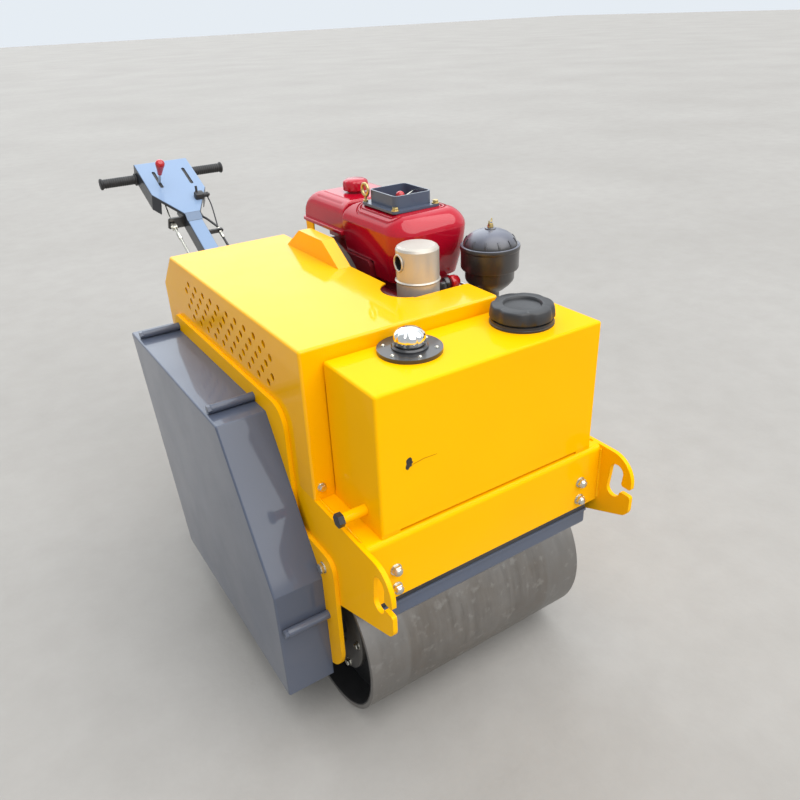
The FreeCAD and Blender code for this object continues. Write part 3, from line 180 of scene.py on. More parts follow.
SKY_LIGHT = 0.62
SKY_GLOW = 1.9
SKY_SEEN = 0.9
GLOW_FROM = Vector((0.12, 0.72, 0.68)).normalized()
sky = bpy.data.worlds.new("hazy_sky")
bpy.context.scene.world = sky
sky.use_nodes = True
tree = sky.node_tree
background = tree.nodes["Background"]
aim = node(tree, "TexCoord")
facing = node(tree, "VectorMath", {1: GLOW_FROM}, operation="DOT_PRODUCT")
tree.links.new(aim.outputs["Generated"], facing.inputs[0])
glow = node(tree, "MapRange", {"From Min": 0.70, "From Max": 0.97, "To Min": SKY_LIGHT, "To Max": SKY_GLOW})
glow.interpolation_type = "SMOOTHSTEP"
tree.links.new(facing.outputs["Value"], glow.inputs["Value"])
rays = node(tree, "LightPath")
strength = node(tree, "MapRange", {"To Max": SKY_SEEN})
tree.links.new(rays.outputs["Is Camera Ray"], strength.inputs["Value"])
tree.links.new(glow.outputs["Result"], strength.inputs["To Min"])
tree.links.new(strength.outputs["Result"], background.inputs["Strength"])
background.inputs["Color"].default_value = (0.88, 0.94, 1.0, 1)

for name, place, strength, spread, colour in (
    ("veiled_sun", (600, -2300, 3900), 3.7, 80, (1.0, 0.985, 0.96)),
    ("weak_right", (3000, 300, 1900), 0.5, 70, (0.95, 0.98, 1.0)),
    ("weak_rear", (400, 3000, 1600), 0.7, 70, (0.95, 0.98, 1.0)),
):
    lamp = bpy.data.objects.new(name, bpy.data.lights.new(name, "SUN"))
    bpy.context.scene.collection.objects.link(lamp)
    lamp.data.energy = strength
    lamp.data.angle = math.radians(spread)
    lamp.data.color = colour
    lamp.location = spot(*place)
    lamp.rotation_euler = (spot(0, 0, 0) - lamp.location).to_track_quat("-Z", "Y").to_euler()


# Plate frame, hood and tank, in yellow paint
# Laser-cut steel plates and folded sheet, welded, then sprayed in one glossy coat of
# deep yellow over orange-peel, with dust on the lower plates.


def sprayed_paint(name, colour, deep, rough=0.34, coat=0.55, specular=0.5, metallic=0.0, dust=0.12, edge=0.0016):
    """Machine paint: slight patches, sparse specks, thin yard dust low down, soft plate edges."""
    material, shader, tree = plain_material(name)
    tone = blended(tree, cloudiness(tree, 3.0, 3.0), colour, deep)
    specks = cloudiness(tree, 420.0, 2.0, 0.70, 0.74)
    tone = blended(tree, specks, tone, tuple(0.35 * c for c in deep), 0.25)
    place = node(tree, "TexCoord")
    parts = node(tree, "SeparateXYZ")
    tree.links.new(place.outputs["Object"], parts.inputs[0])
    low_down = node(tree, "MapRange", {"From Min": 0.55, "From Max": 0.12})
    tree.links.new(parts.outputs["Z"], low_down.inputs["Value"])
    film = node(tree, "Math", operation="MULTIPLY")
    tree.links.new(low_down.outputs["Result"], film.inputs[0])
    tree.links.new(cloudiness(tree, 6.0, 6.0, 0.3, 0.75), film.inputs[1])
    tone = blended(tree, film.outputs[0], tone, (0.36, 0.32, 0.27), dust)
    tree.links.new(tone, shader.inputs["Base Color"])
    tree.links.new(ranged(tree, cloudiness(tree, 8.0, 4.0), rough - 0.03, rough + 0.04), shader.inputs["Roughness"])
    shader.inputs["Metallic"].default_value = metallic
    shader.inputs["Specular IOR Level"].default_value = specular
    shader.inputs["Coat Weight"].default_value = coat
    shader.inputs["Coat Roughness"].default_value = 0.06
    relief(tree, shader, cloudiness(tree, 190.0, 2.0, 0.2, 0.8), 0.03, 0.001, edge)
    return material


def dress(material, *names):
    """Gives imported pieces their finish."""
    for name in names:
        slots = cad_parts[name].data.materials
        slots.clear()
        slots.append(material)


yellow = sprayed_paint("roller_yellow", (0.95, 0.470, 0.0), (0.93, 0.445, 0.0), 0.5, 0.12, 0.02)
dress(yellow, "side_plate_left", "side_plate_right", "front_beam", "rear_beam", "engine_deck")
dress(yellow, "lower_plate_left", "lower_plate_right", "chain_plate", "handle_fork")
dress(yellow, "front_tank", "drain_tube")
hood_yellow = sprayed_paint("hood_yellow", (0.93, 0.450, 0.0), (0.91, 0.425, 0.0), 0.38, 0.5, 0.03)
dress(hood_yellow, "hood")


def skin(into, rings, closed=True):
    """Faces between rings with the same number of vertices, and over both ends."""
    count = len(rings[0])
    for near, far in zip(rings, rings[1:]):
        for k in range(count):
            into.faces.new((near[k], near[(k + 1) % count], far[(k + 1) % count], far[k]))
    if closed:
        into.faces.new(list(reversed(rings[0])))
        into.faces.new(rings[-1])


def weld_bead(into, start, end, radius, pitch=0.006):
    """Rippled fillet bead from start to end, added to a bmesh."""
    run = end - start
    steps = max(8, int(run.length / pitch * 3))
    side = run.normalized().orthogonal().normalized()
    other = run.normalized().cross(side)
    rings = []
    for i in range(steps + 1):
        travel = run.length * i / steps
        swell = radius * (0.86 + 0.14 * math.cos(2 * math.pi * travel / pitch))
        if i in (0, steps):
            swell = radius * 0.3
        middle = start + run * (i / steps)
        ring = []
        for k in range(8):
            turn = 2 * math.pi * k / 8
            ring.append(into.verts.new(middle + (side * math.cos(turn) + other * math.sin(turn)) * swell))
        rings.append(ring)
    skin(into, rings)


def finished(piece, body, slot, *nodes):
    """Says which body a piece rides on and which nodes it stands for; slot, the name of its finish, is not used."""
    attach(piece, body)
    if nodes:
        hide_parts(*nodes)
    return piece


BEAM_FACE = 504.0
PLATE_INNER = 305.0
welds = bmesh.new()
for side in (-1, 1):
    for face in (-BEAM_FACE, BEAM_FACE):
        x = side * (PLATE_INNER - 1)
        y = face + math.copysign(1, face)
        weld_bead(welds, spot(x, y, 452), spot(x, y, 588), 0.0035)
    x = side * (PLATE_INNER - 1)
    weld_bead(welds, spot(x, -300, 595), spot(x, -480, 595), 0.003)
for x in (-40.5, 40.5):
    weld_bead(welds, spot(x, 505, 400), spot(x, 505, 576), 0.0035)
finished(mesh_object("frame_welds", welds, yellow), "frame", "yellow_paint")


# Drums
# Rolled from 12 mm plate with one long welded seam, turned true and left bare: dull
# brown-grey steel with scuffs round the roll and yard dust. Inside they are primed black.

drum_steel, shader, tree = plain_material("rolled_drum_steel")
place = node(tree, "TexCoord")
streaks = cloudiness(tree, 7.0, 8.0, 0.3, 0.7, 0.65, (9, 1, 1))
blotches = cloudiness(tree, 11.0, 7.0, 0.35, 0.7, 0.62)
tone = blended(tree, streaks, (0.150, 0.140, 0.130), (0.215, 0.203, 0.190))
tone = blended(tree, blotches, tone, (0.150, 0.125, 0.100), 0.55)
tone = blended(tree, cloudiness(tree, 46.0, 6.0, 0.58, 0.72), tone, (0.34, 0.33, 0.31), 0.38)
dust = cloudiness(tree, 5.0, 7.0, 0.45, 0.75, 0.7)
tone = blended(tree, dust, tone, (0.30, 0.28, 0.255), 0.3)
spots = node(tree, "SeparateXYZ")
tree.links.new(place.outputs["Object"], spots.inputs[0])
inside = None
for low, high in ((drum_low, drum_high), (rear_low, rear_high)):
    middle = ((low[0] + high[0]) / 2, (low[1] + high[1]) / 2, (low[2] + high[2]) / 2)
    away = node(tree, "VectorMath", {1: middle}, operation="SUBTRACT")
    flat = node(tree, "VectorMath", {1: (0, 1, 1)}, operation="MULTIPLY")
    reach = node(tree, "VectorMath", operation="LENGTH")
    tree.links.new(place.outputs["Object"], away.inputs[0])
    tree.links.new(away.outputs[0], flat.inputs[0])
    tree.links.new(flat.outputs[0], reach.inputs[0])
    within = node(tree, "Math", {1: 0.2035}, operation="LESS_THAN")
    tree.links.new(reach.outputs["Value"], within.inputs[0])
    if inside is None:
        inside = within.outputs[0]
    else:
        either = node(tree, "Math", operation="MAXIMUM")
        tree.links.new(inside, either.inputs[0])
        tree.links.new(within.outputs[0], either.inputs[1])
        inside = either.outputs[0]
across = node(tree, "Math", {1: MIDDLE_X}, operation="SUBTRACT")
tree.links.new(spots.outputs["X"], across.inputs[0])
off_middle = node(tree, "Math", operation="ABSOLUTE")
tree.links.new(across.outputs[0], off_middle.inputs[0])
end_band = node(tree, "MapRange", {"From Min": 0.199, "From Max": 0.206})
tree.links.new(off_middle.outputs[0], end_band.inputs["Value"])
tone = blended(tree, end_band.outputs["Result"], tone, (0.235, 0.232, 0.228), 0.35)
tone = blended(tree, inside, tone, (0.018, 0.018, 0.019))
tree.links.new(tone, shader.inputs["Base Color"])
bare = node(tree, "Math", {0: 0.62}, operation="SUBTRACT")
tree.links.new(inside, bare.inputs[1])
tree.links.new(bare.outputs[0], shader.inputs["Metallic"])
tree.links.new(ranged(tree, streaks, 0.36, 0.58), shader.inputs["Roughness"])
relief(tree, shader, streaks, 0.10, 0.0010, 0.0015)
dress(drum_steel, "front_drum", "rear_drum")


def fastener(into, centre, axis, across, tall, sides=6, dome=0.0, washer=0.0):
    """Hexagon head or nut with chamfered corners, added to a bmesh; sizes in millimetres."""
    turn = axis.to_track_quat("Z", "Y").to_matrix().to_4x4()
    radius = across / math.sqrt(3) / 1000 if sides == 6 else across / 2000
    base = 0.0
    if washer:
        layers = ((washer / 2000, 0.0), (washer / 2000, 0.0016), (washer / 2000 - 0.0004, 0.002))
        stack(into, centre, turn, layers, 24)
        base = 0.002
    high = base + tall / 1000
    layers = [(radius * 0.97, base), (radius, base + 0.0008), (radius, high - 0.0014), (radius * 0.86, high)]
    stack(into, centre, turn, layers, sides)
    if dome:
        curve = [(radius * 0.8, high - 0.0005)]
        for i in range(1, 6):
            lift = math.radians(18 * i)
            curve.append((radius * 0.8 * math.cos(lift), high + dome / 1000 * math.sin(lift)))
        stack(into, centre, turn, curve, 20)


def stack(into, centre, turn, layers, sides):
    """Closed solid of rings (radius, height) about an axis, added to a bmesh."""
    rings = []
    for radius, height in layers:
        ring = []
        for k in range(sides):
            angle = 2 * math.pi * k / sides
            flat = Vector((radius * math.cos(angle), radius * math.sin(angle), height))
            ring.append(into.verts.new(centre + turn.to_3x3() @ flat))
        rings.append(ring)
    skin(into, rings)


def bare_metal(name, colour, rough, metallic=1.0, grime=(0.05, 0.045, 0.04), dirt=0.35, scale=60.0):
    """Plated or machined metal with a little grime in patches."""
    material, shader, tree = plain_material(name)
    marks = cloudiness(tree, scale, 5.0, 0.45, 0.75)
    tree.links.new(blended(tree, marks, colour, grime, dirt), shader.inputs["Base Color"])
    tree.links.new(ranged(tree, marks, rough, min(1.0, rough + 0.25)), shader.inputs["Roughness"])
    shader.inputs["Metallic"].default_value = metallic
    relief(tree, shader, cloudiness(tree, 380.0, 3.0), 0.08, 0.0004, 0.0006)
    return material


zinc = bare_metal("zinc_plate", (0.72, 0.70, 0.62), 0.24)
bright = bare_metal("turned_steel", (0.58, 0.57, 0.55), 0.28)

HUB_PITCH = 34.0
for end, low, high in (("front", drum_low, drum_high), ("rear", rear_low, rear_high)):
    hub_bolts = bmesh.new()
    for side in (-1, 1):
        for i in range(6):
            turn = math.radians(60 * i + 12)
            y = (low[1] + high[1]) / 2 - MIDDLE_Y
            centre = spot(side * 288, y * 1000 + HUB_PITCH * math.cos(turn), 212.5 + HUB_PITCH * math.sin(turn))
            fastener(hub_bolts, centre, Vector((side, 0, 0)), 13, 6, washer=18)
    finished(mesh_object(end + "_hub_bolts", hub_bolts, zinc), end + "_drum", "zinc_steel")


# Axles and their bearings
# Through shafts in flanged cast bearing units, four bolts each, on the lower plates.

casting = sprayed_paint("bearing_casting", (0.022, 0.023, 0.025), (0.03, 0.03, 0.03), 0.5, 0.15, dust=0.4)
dress(bright, "front_axle", "rear_axle", "handle_pin")
dress(casting, "front_bearing_left", "front_bearing_right", "rear_bearing_left", "rear_bearing_right")

COVER_ROWS = ((0.118, 0.247), (0.118, 0.266), (0.126, 0.267), (0.126, 0.275), (0.123, 0.277), (0.060, 0.277), (0.058, 0.270))
COVER_PITCH = 111.0
for end, y in (("front", -260), ("rear", 260)):
    covers = bmesh.new()
    cover_bolts = bmesh.new()
    for side in (-1, 1):
        outboard = Vector((side, 0, 0))
        stack(covers, spot(0, y, 212.5), outboard.to_track_quat("Z", "Y").to_matrix().to_4x4(), COVER_ROWS, 64)
        for i in range(6):
            turn = math.radians(60 * i - 2)
            centre = spot(side * 276.5, y + COVER_PITCH * math.cos(turn), 212.5 + COVER_PITCH * math.sin(turn))
            fastener(cover_bolts, centre, outboard, 15, 7, washer=20)
    finished(mesh_object(end + "_end_covers", covers, casting), end + "_drum", "black_paint")
    finished(mesh_object(end + "_cover_bolts", cover_bolts, zinc), end + "_drum", "zinc_steel")

flange_bolts = bmesh.new()
for side in (-1, 1):
    for y in (-260, 260):
        for up in (-42, 42):
            for along in (-42, 42):
                centre = spot(side * 337, y + along, 212.5 + up)
                fastener(flange_bolts, centre, Vector((side, 0, 0)), 17, 9, washer=22)
finished(mesh_object("bearing_bolts", flange_bolts, zinc), "frame", "zinc_steel")


# Plate and beam fasteners
# Domed zinc nuts with washers hold the scrapers to the beams, and hexagon bolts the
# lower plates to the frame.

plate_bolts = bmesh.new()
for side in (-1, 1):
    for z in (518, 472):
        for face in (-1, 1):
            centre = spot(side * 247, face * BEAM_FACE, z)
            fastener(plate_bolts, centre, Vector((0, face, 0)), 20, 9, dome=6, washer=26)
    for y in (-341, -240, 240, 341):
        centre = spot(side * 325, y, 447)
        fastener(plate_bolts, centre, Vector((side, 0, 0)), 20, 9, washer=26)
finished(mesh_object("plate_bolts", plate_bolts, zinc), "frame", "zinc_steel", "frame_bolts")


# Scrapers, chain cover and funnel, in slate paint
# Folded sheet in a dark blue-grey gloss. The cover hangs on three spacer tubes with
# capped ends; the blades of the scrapers stand just off the drums.

def slab(into, outline, lift):
    """Flat plate over an outline, as thick as lift is long, added to a bmesh."""
    skin(into, [[into.verts.new(point) for point in outline], [into.verts.new(point + lift) for point in outline]])


slate = sprayed_paint("slate_gloss", (0.078, 0.096, 0.142), (0.068, 0.084, 0.126), 0.32, 0.6, 0.2)
dress(slate, "front_scraper", "rear_scraper", "chain_cover", "cover_studs", "hopper_funnel")

SCRAPER_FACE = 494.0
SCRAPER_HALF = 281.0
# The black strips just under the beams' lower edges are painted shadow of the gap below the beams.
scraper_painted_shadow = bmesh.new()
scraper_lips = bmesh.new()
for side in (-1, 1):
    for into, low, high, proud in ((scraper_painted_shadow, 427, 447.8, 1.0), (scraper_lips, 422, 427.5, 4.5)):
        y = side * (SCRAPER_FACE - 0.3)
        corners = ((-SCRAPER_HALF, low), (SCRAPER_HALF, low), (SCRAPER_HALF, high), (-SCRAPER_HALF, high))
        slab(into, [spot(x, y, z) for x, z in corners], Vector((0, side * (proud + 0.3) / 1000, 0)))
finished(mesh_object("scraper_painted_shadow", scraper_painted_shadow, casting, 0), "frame", "black_paint")
finished(mesh_object("scraper_lips", scraper_lips, slate, 0), "frame", "slate_paint")


# Front tank fittings
# A plated breather on a black flange with six screws, a black moulded filler cap on its
# stepped collar, and a yellow drain pipe closed by a black plug.

black_flange = sprayed_paint("flange_black", (0.020, 0.021, 0.024), (0.026, 0.026, 0.028), 0.38, 0.5)
dress(black_flange, "breather_flange")
BREATHER = (-113.0, -376.0, 906.0)
flange_screws = bmesh.new()
for i in range(6):
    turn = math.radians(60 * i + 18)
    centre = spot(BREATHER[0] + 52 * math.cos(turn), BREATHER[1] + 52 * math.sin(turn), BREATHER[2])
    fastener(flange_screws, centre, Vector((0, 0, 1)), 8.5, 1.2, sides=16, dome=2.2)
finished(mesh_object("breather_screws", flange_screws, zinc), "frame", "zinc_steel")

step_ring = bmesh.new()
stack(step_ring, spot(*BREATHER), Matrix.Identity(4), ((0.036, 0.0), (0.036, 0.003), (0.033, 0.006), (0.026, 0.006)), 48)
finished(mesh_object("breather_collar", step_ring, black_flange), "frame", "black_paint")

mirror_chrome, shader, tree = plain_material("breather_chrome")
haze = cloudiness(tree, 34.0, 4.0, 0.4, 0.7)
tree.links.new(blended(tree, haze, (0.86, 0.86, 0.85), (0.66, 0.64, 0.60), 0.5), shader.inputs["Base Color"])
tree.links.new(ranged(tree, haze, 0.04, 0.13), shader.inputs["Roughness"])
shader.inputs["Metallic"].default_value = 1.0


def lobed(name, place, rows, material, lobes, depth, sides=96):
    """Turned piece (radius, height, share of the grip scallops) with scallops round it."""
    shape = bmesh.new()
    rings = []
    for radius, height, share in rows:
        ring = []
        for k in range(sides):
            angle = 2 * math.pi * k / sides
            dip = depth * share * max(0.0, math.cos(lobes * angle)) ** 2
            reach = (radius - dip) / 1000
            ring.append(shape.verts.new(place + Vector((reach * math.cos(angle), reach * math.sin(angle), height / 1000))))
        rings.append(ring)
    skin(shape, rings)
    return mesh_object(name, shape, material, 40.0)


KNOB_ROWS = (
    (24, 0, 0),
    (24, 7, 0),
    (30, 8.5, 0.3),
    (31.5, 10.5, 0.7),
    (31.5, 20, 1),
    (30.5, 25, 1),
    (28, 30, 0.7),
    (23, 34.5, 0.3),
    (16, 37.6, 0),
    (8, 39.2, 0),
    (2, 39.8, 0),
)
knob = lobed("breather_knob", spot(*BREATHER), KNOB_ROWS, mirror_chrome, 8, 2.6)
finished(knob, "frame", "chrome", "breather_cap")

moulded, shader, tree = plain_material("moulded_black")
grain = cloudiness(tree, 520.0, 3.0)
dusty = cloudiness(tree, 12.0, 6.0, 0.4, 0.8)
tree.links.new(blended(tree, dusty, (0.018, 0.019, 0.022), (0.055, 0.055, 0.056), 0.6), shader.inputs["Base Color"])
tree.links.new(ranged(tree, dusty, 0.38, 0.55), shader.inputs["Roughness"])
relief(tree, shader, grain, 0.12, 0.0006)
FILLER_ROWS = (
    (66.5, 0, 0),
    (66.5, 4, 0),
    (65, 5, 0),
    (64, 10, 0),
    (60, 11, 0),
    (60, 13, 0),
    (65.5, 14.5, 0.4),
    (67, 16, 0.8),
    (66, 27, 1),
    (64, 36, 1),
    (62.8, 38.6, 1),
    (60.5, 40, 0.8),
    (40.5, 40.6, 0),
    (39, 39.4, 0),
    (37.5, 34.4, 0),
    (36, 33.6, 0),
    (2, 34.6, 0),
)
filler = lobed("filler_cap", spot(147, -399, 898), FILLER_ROWS, moulded, 6, 4.0)
finished(filler, "frame", "black_plastic", "water_filler")

dress(moulded, "drain_plug")


CHIP_CENTRE = (-203.0, 741.0)
CHIP_REACH = (9.5, 7.0, 10.5, 13.0, 11.5, 10.0, 6.5, 5.5, 8.5, 12.5, 13.5, 8.0, 10.0, 6.0)
SCRATCH = ((-196, 737.0), (-170, 740.5), (-141, 739.0), (-141, 737.8), (-170, 738.6), (-196, 735.0))
TANK_FRONT = -498.0
primer, shader, tree = plain_material("chipped_primer")
chips = cloudiness(tree, 240.0, 3.0)
tree.links.new(blended(tree, chips, (0.012, 0.012, 0.016), (0.05, 0.035, 0.02)), shader.inputs["Base Color"])
shader.inputs["Roughness"].default_value = 0.7
chip = bmesh.new()
edge = []
for i, reach in enumerate(CHIP_REACH):
    turn = 2 * math.pi * i / len(CHIP_REACH)
    edge.append(spot(CHIP_CENTRE[0] + reach * math.cos(turn), TANK_FRONT + 0.2, CHIP_CENTRE[1] + reach * math.sin(turn)))
slab(chip, edge, Vector((0, -0.0006, 0)))
finished(mesh_object("tank_chip", chip, primer, 0), "frame", "black_paint")
worn_yellow = sprayed_paint("scratched_yellow", (0.62, 0.26, 0.0), (0.55, 0.22, 0.0), 0.5, 0.1, 0.03)
scratch = bmesh.new()
slab(scratch, [spot(x, TANK_FRONT + 0.2, z) for x, z in SCRATCH], Vector((0, -0.0005, 0)))
finished(mesh_object("tank_scratch", scratch, worn_yellow, 0), "frame", "yellow_paint")


# Hood fasteners
# Zinc bolts hold the folded hood down to angle lugs; its inside is in the same yellow.

hood_bolts = bmesh.new()
for x, y, z, axis in (
    (-296, -311, 622, Vector((0, -1, 0))),
    (120, -311, 622, Vector((0, -1, 0))),
    (-296, 540, 622, Vector((0, 1, 0))),
    (-40, 540, 622, Vector((0, 1, 0))),
):
    fastener(hood_bolts, spot(x, y, z), axis, 14, 7, washer=20)
finished(mesh_object("hood_bolts", hood_bolts, zinc), "frame", "zinc_steel")


# Water hopper
# Pressed sheet casing in crimson gloss over the cylinder, with two grooves round its
# opening, a slate funnel bolted on at three corners and a lifting eye at the fourth.

crimson = sprayed_paint("engine_crimson", (0.44, 0.005, 0.022), (0.38, 0.003, 0.016), 0.3, 1.0, 0.0, 0.0, 0.0)
crimson.node_tree.nodes["Principled BSDF"].inputs["Coat Roughness"].default_value = 0.1
HOPPER_LEFT = 62.0
HOPPER_RIGHT = 280.0
HOPPER_FRONT = -78.0
HOPPER_REAR = 185.0
HOPPER_LOW = 892.0
HOPPER_STEP_Y = 56.0
HOPPER_STEP_Z = 932.0
BELLY_TOP = 1011.0
HOPPER_TOP = 1054.0
CASING_CORNER = 60.0
CASING_ROUND = 46.0
CASING_DROP = 43.0
SHOULDER = 1.7
REAR_ROUND = 6.0
FUNNEL = (156.0, 56.0)
FUNNEL_PLATE = (134.0, 150.0)
FUNNEL_MOUTH = (98.0, 110.0)
WELL_FLOOR = 994.0
GROOVE = 3.4


def soft_plan(x0, x1, y0, y1, front, rear):
    """Points (x, y) of a rectangle with rounded corners, front and rear radius given."""
    plan = []
    for x, y, radius, start in (
        (x1 - front, y0 + front, front, -90),
        (x1 - rear, y1 - rear, rear, 0),
        (x0 + rear, y1 - rear, rear, 90),
        (x0 + front, y0 + front, front, 180),
    ):
        for k in range(9):
            turn = math.radians(start + 90 * k / 8)
            plan.append((x + radius * math.cos(turn), y + radius * math.sin(turn)))
    return plan


def rounding_fall(distance, radius):
    """How far a rounded edge has dropped at a distance inside the outline."""
    away = radius - min(max(distance, 0.0), radius)
    return radius - math.sqrt(radius**2 - away**2)


def casing_top(x, y):
    """Height of the casing's top, which falls away to the left, right and front."""
    half_x = (HOPPER_RIGHT - HOPPER_LEFT) / 2 - CASING_CORNER
    across = abs(x - (HOPPER_LEFT + HOPPER_RIGHT) / 2) - half_x
    forward = HOPPER_FRONT + CASING_CORNER - y
    inside = CASING_CORNER - math.hypot(max(across, 0), max(forward, 0)) - min(max(across, forward), 0)
    share = 1 - min(max(inside, 0.0), CASING_ROUND) / CASING_ROUND
    fall = CASING_DROP * (1 - (1 - share**SHOULDER) ** (1 / SHOULDER))
    return HOPPER_TOP - fall - rounding_fall(HOPPER_REAR - y, REAR_ROUND)


def around(centre, size, offset, corner):
    """Rounded rectangle at an offset round a rectangle of the given size."""
    half_x = size[0] / 2 + offset
    half_y = size[1] / 2 + offset
    return soft_plan(centre[0] - half_x, centre[0] + half_x, centre[1] - half_y, centre[1] + half_y, corner, corner)


casing = bmesh.new()
levels = []
for z, rear in ((HOPPER_LOW, HOPPER_STEP_Y), (HOPPER_STEP_Z, HOPPER_STEP_Y), (HOPPER_STEP_Z, HOPPER_REAR)):
    levels.append((z, rear))
for i in range(1, 9):
    levels.append((HOPPER_STEP_Z + (BELLY_TOP - HOPPER_STEP_Z) * i / 8, HOPPER_REAR))
rings = []
for z, rear in levels:
    tuck = ((BELLY_TOP - z) / (BELLY_TOP - HOPPER_LOW)) ** 1.5
    plan = soft_plan(
        HOPPER_LEFT + 14 * tuck, HOPPER_RIGHT - 12 * tuck, HOPPER_FRONT + 32 * tuck, rear, CASING_CORNER - 14 * tuck, 3
    )
    rings.append([casing.verts.new(spot(x, y, z)) for x, y in plan])
outer = soft_plan(HOPPER_LEFT, HOPPER_RIGHT, HOPPER_FRONT, HOPPER_REAR, CASING_CORNER, 3)
inner = around(FUNNEL, FUNNEL_PLATE, 20, 32)
for share in (0.0, 0.01, 0.04, 0.09, 0.16, 0.25, 0.36, 0.5, 0.65, 0.8, 1.0):
    plan = [(a[0] + (b[0] - a[0]) * share, a[1] + (b[1] - a[1]) * share) for a, b in zip(outer, inner)]
    rings.append([casing.verts.new(spot(x, y, casing_top(x, y))) for x, y in plan])
for offset, depth in ((17.5, 0), (16.5, 1), (13, 1), (12, 0), (8, 0), (7, 1), (3.5, 1), (2.5, 0), (-4, 0)):
    plan = around(FUNNEL, FUNNEL_PLATE, offset, 12 + offset)
    rings.append([casing.verts.new(spot(x, y, casing_top(x, y) - depth * GROOVE)) for x, y in plan])
for z in (HOPPER_TOP, WELL_FLOOR):
    rings.append([casing.verts.new(spot(x, y, z)) for x, y in around(FUNNEL, FUNNEL_MOUTH, 0, 10)])
skin(casing, rings)
finished(mesh_object("hopper_casing", casing, crimson, 32.0), "frame", "crimson_paint", "water_hopper")

brass = bare_metal("yellow_plate", (0.62, 0.47, 0.20), 0.28)
funnel_bolts = bmesh.new()
for x, y in ((-1, -1), (1, -1), (1, 1)):
    fastener(funnel_bolts, spot(FUNNEL[0] + 57 * x, FUNNEL[1] + 65 * y, 1060), Vector((0, 0, 1)), 13, 6, washer=19)
finished(mesh_object("funnel_bolts", funnel_bolts, brass), "frame", "brass")


def hoop(into, centre, axis, radius, bar, turns=40, sides=12):
    """Closed ring of round bar about an axis, added to a bmesh; sizes in metres."""
    side = axis.orthogonal().normalized()
    other = axis.cross(side)
    rings = []
    for i in range(turns):
        turn = 2 * math.pi * i / turns
        outward = side * math.cos(turn) + other * math.sin(turn)
        ring = []
        for k in range(sides):
            lift = 2 * math.pi * k / sides
            ring.append(into.verts.new(centre + outward * (radius + bar * math.cos(lift)) + axis * (bar * math.sin(lift))))
        rings.append(ring)
    rings.append(rings[0])
    skin(into, rings, False)


eye = bmesh.new()
hoop(eye, spot(98, 122, 1088), Vector((1, 0, 0)), 0.014, 0.0038)
stack(eye, spot(98, 122, 1060), Matrix.Identity(4), ((0.006, 0), (0.006, 0.004), (0.0032, 0.005), (0.0032, 0.0145)), 16)
finished(mesh_object("eye_ring", eye, brass), "frame", "brass", "lifting_eye")

red_moulding, shader, tree = plain_material("red_moulding")
tone = blended(tree, cloudiness(tree, 40.0), (0.50, 0.008, 0.014), (0.38, 0.004, 0.010))
tree.links.new(tone, shader.inputs["Base Color"])
shader.inputs["Roughness"].default_value = 0.22
shader.inputs["Coat Weight"].default_value = 0.4
FLOAT_ROWS = ((3, -60), (3, 13), (7, 14), (10, 17.5), (11, 21.5), (10.2, 26), (7.5, 30), (3.5, 32), (0.6, 32.4))
float_ball = bmesh.new()
stack(float_ball, spot(156, 56, 1054), Matrix.Identity(4), [(r / 1000, h / 1000) for r, h in FLOAT_ROWS], 28)
finished(mesh_object("float_ball", float_ball, red_moulding), "frame", "red_plastic", "float_gauge")


def tube_along(into, points, radius, sides=12, steps=6):
    """Round closed bar along a smooth line through points, added to a bmesh; radius in metres."""
    line = []
    padded = [points[0]] + list(points) + [points[-1]]
    for a, b, c, d in zip(padded, padded[1:], padded[2:], padded[3:]):
        for i in range(steps):
            t = i / steps
            curve = (2 * a - 5 * b + 4 * c - d) * t**2 + (3 * b - a - 3 * c + d) * t**3
            line.append((2 * b + (c - a) * t + curve) / 2)
    line.append(points[-1])
    side = (line[1] - line[0]).orthogonal().normalized()
    rings = []
    for i, middle in enumerate(line):
        onward = (line[min(i + 1, len(line) - 1)] - line[max(i - 1, 0)]).normalized()
        side = (side - onward * side.dot(onward)).normalized()
        other = onward.cross(side)
        ring = []
        for k in range(sides):
            turn = 2 * math.pi * k / sides
            ring.append(into.verts.new(middle + (side * math.cos(turn) + other * math.sin(turn)) * radius))
        rings.append(ring)
    skin(into, rings)


wire = bmesh.new()
tube_along(wire, [spot(108, 34, 1072), spot(136, 36, 1079), spot(158, 40, 1077), spot(184, 48, 1082), spot(204, 66, 1080)], 0.0016, 8)
finished(mesh_object("float_wire", wire, zinc), "frame", "zinc_steel")


# Fuel tank
# Two crimson pressings joined by a flange round the foot, with two shallow ribs pressed
# along the left of the top, a red screw cap and a yellow strap under its rear.

TANK_X = (66.0, 271.0)
TANK_Y = (187.0, 402.0)
TANK_WALL_LOW = 978.0
FUEL_TOP = 1050.0
RIB_X = (79.0, 97.0)
RIB_HALF = 2.6
RIB_Y = (205.0, 345.0)
TANK_CELLS = (96, 64)


def tank_top(x, y):
    """Height of the tank's top, rounded at both sides and more at the rear."""
    side = rounding_fall(min(x - TANK_X[0], TANK_X[1] - x), 36.0)
    rear = rounding_fall(TANK_Y[1] - y, 58.0)
    front = rounding_fall(y - TANK_Y[0], 8.0)
    height = FUEL_TOP - math.hypot(side, rear, front)
    fade = min(1.0, max(0.0, min(y - RIB_Y[0], RIB_Y[1] - y) / 8))
    for middle in RIB_X:
        height -= 3.2 * fade * max(0.0, 1 - ((x - middle) / RIB_HALF) ** 2)
    return height


def eased(ends, share):
    """Place between two ends, with the steps crowded towards both."""
    return ends[0] + (ends[1] - ends[0]) * (1 - math.cos(math.pi * share)) / 2


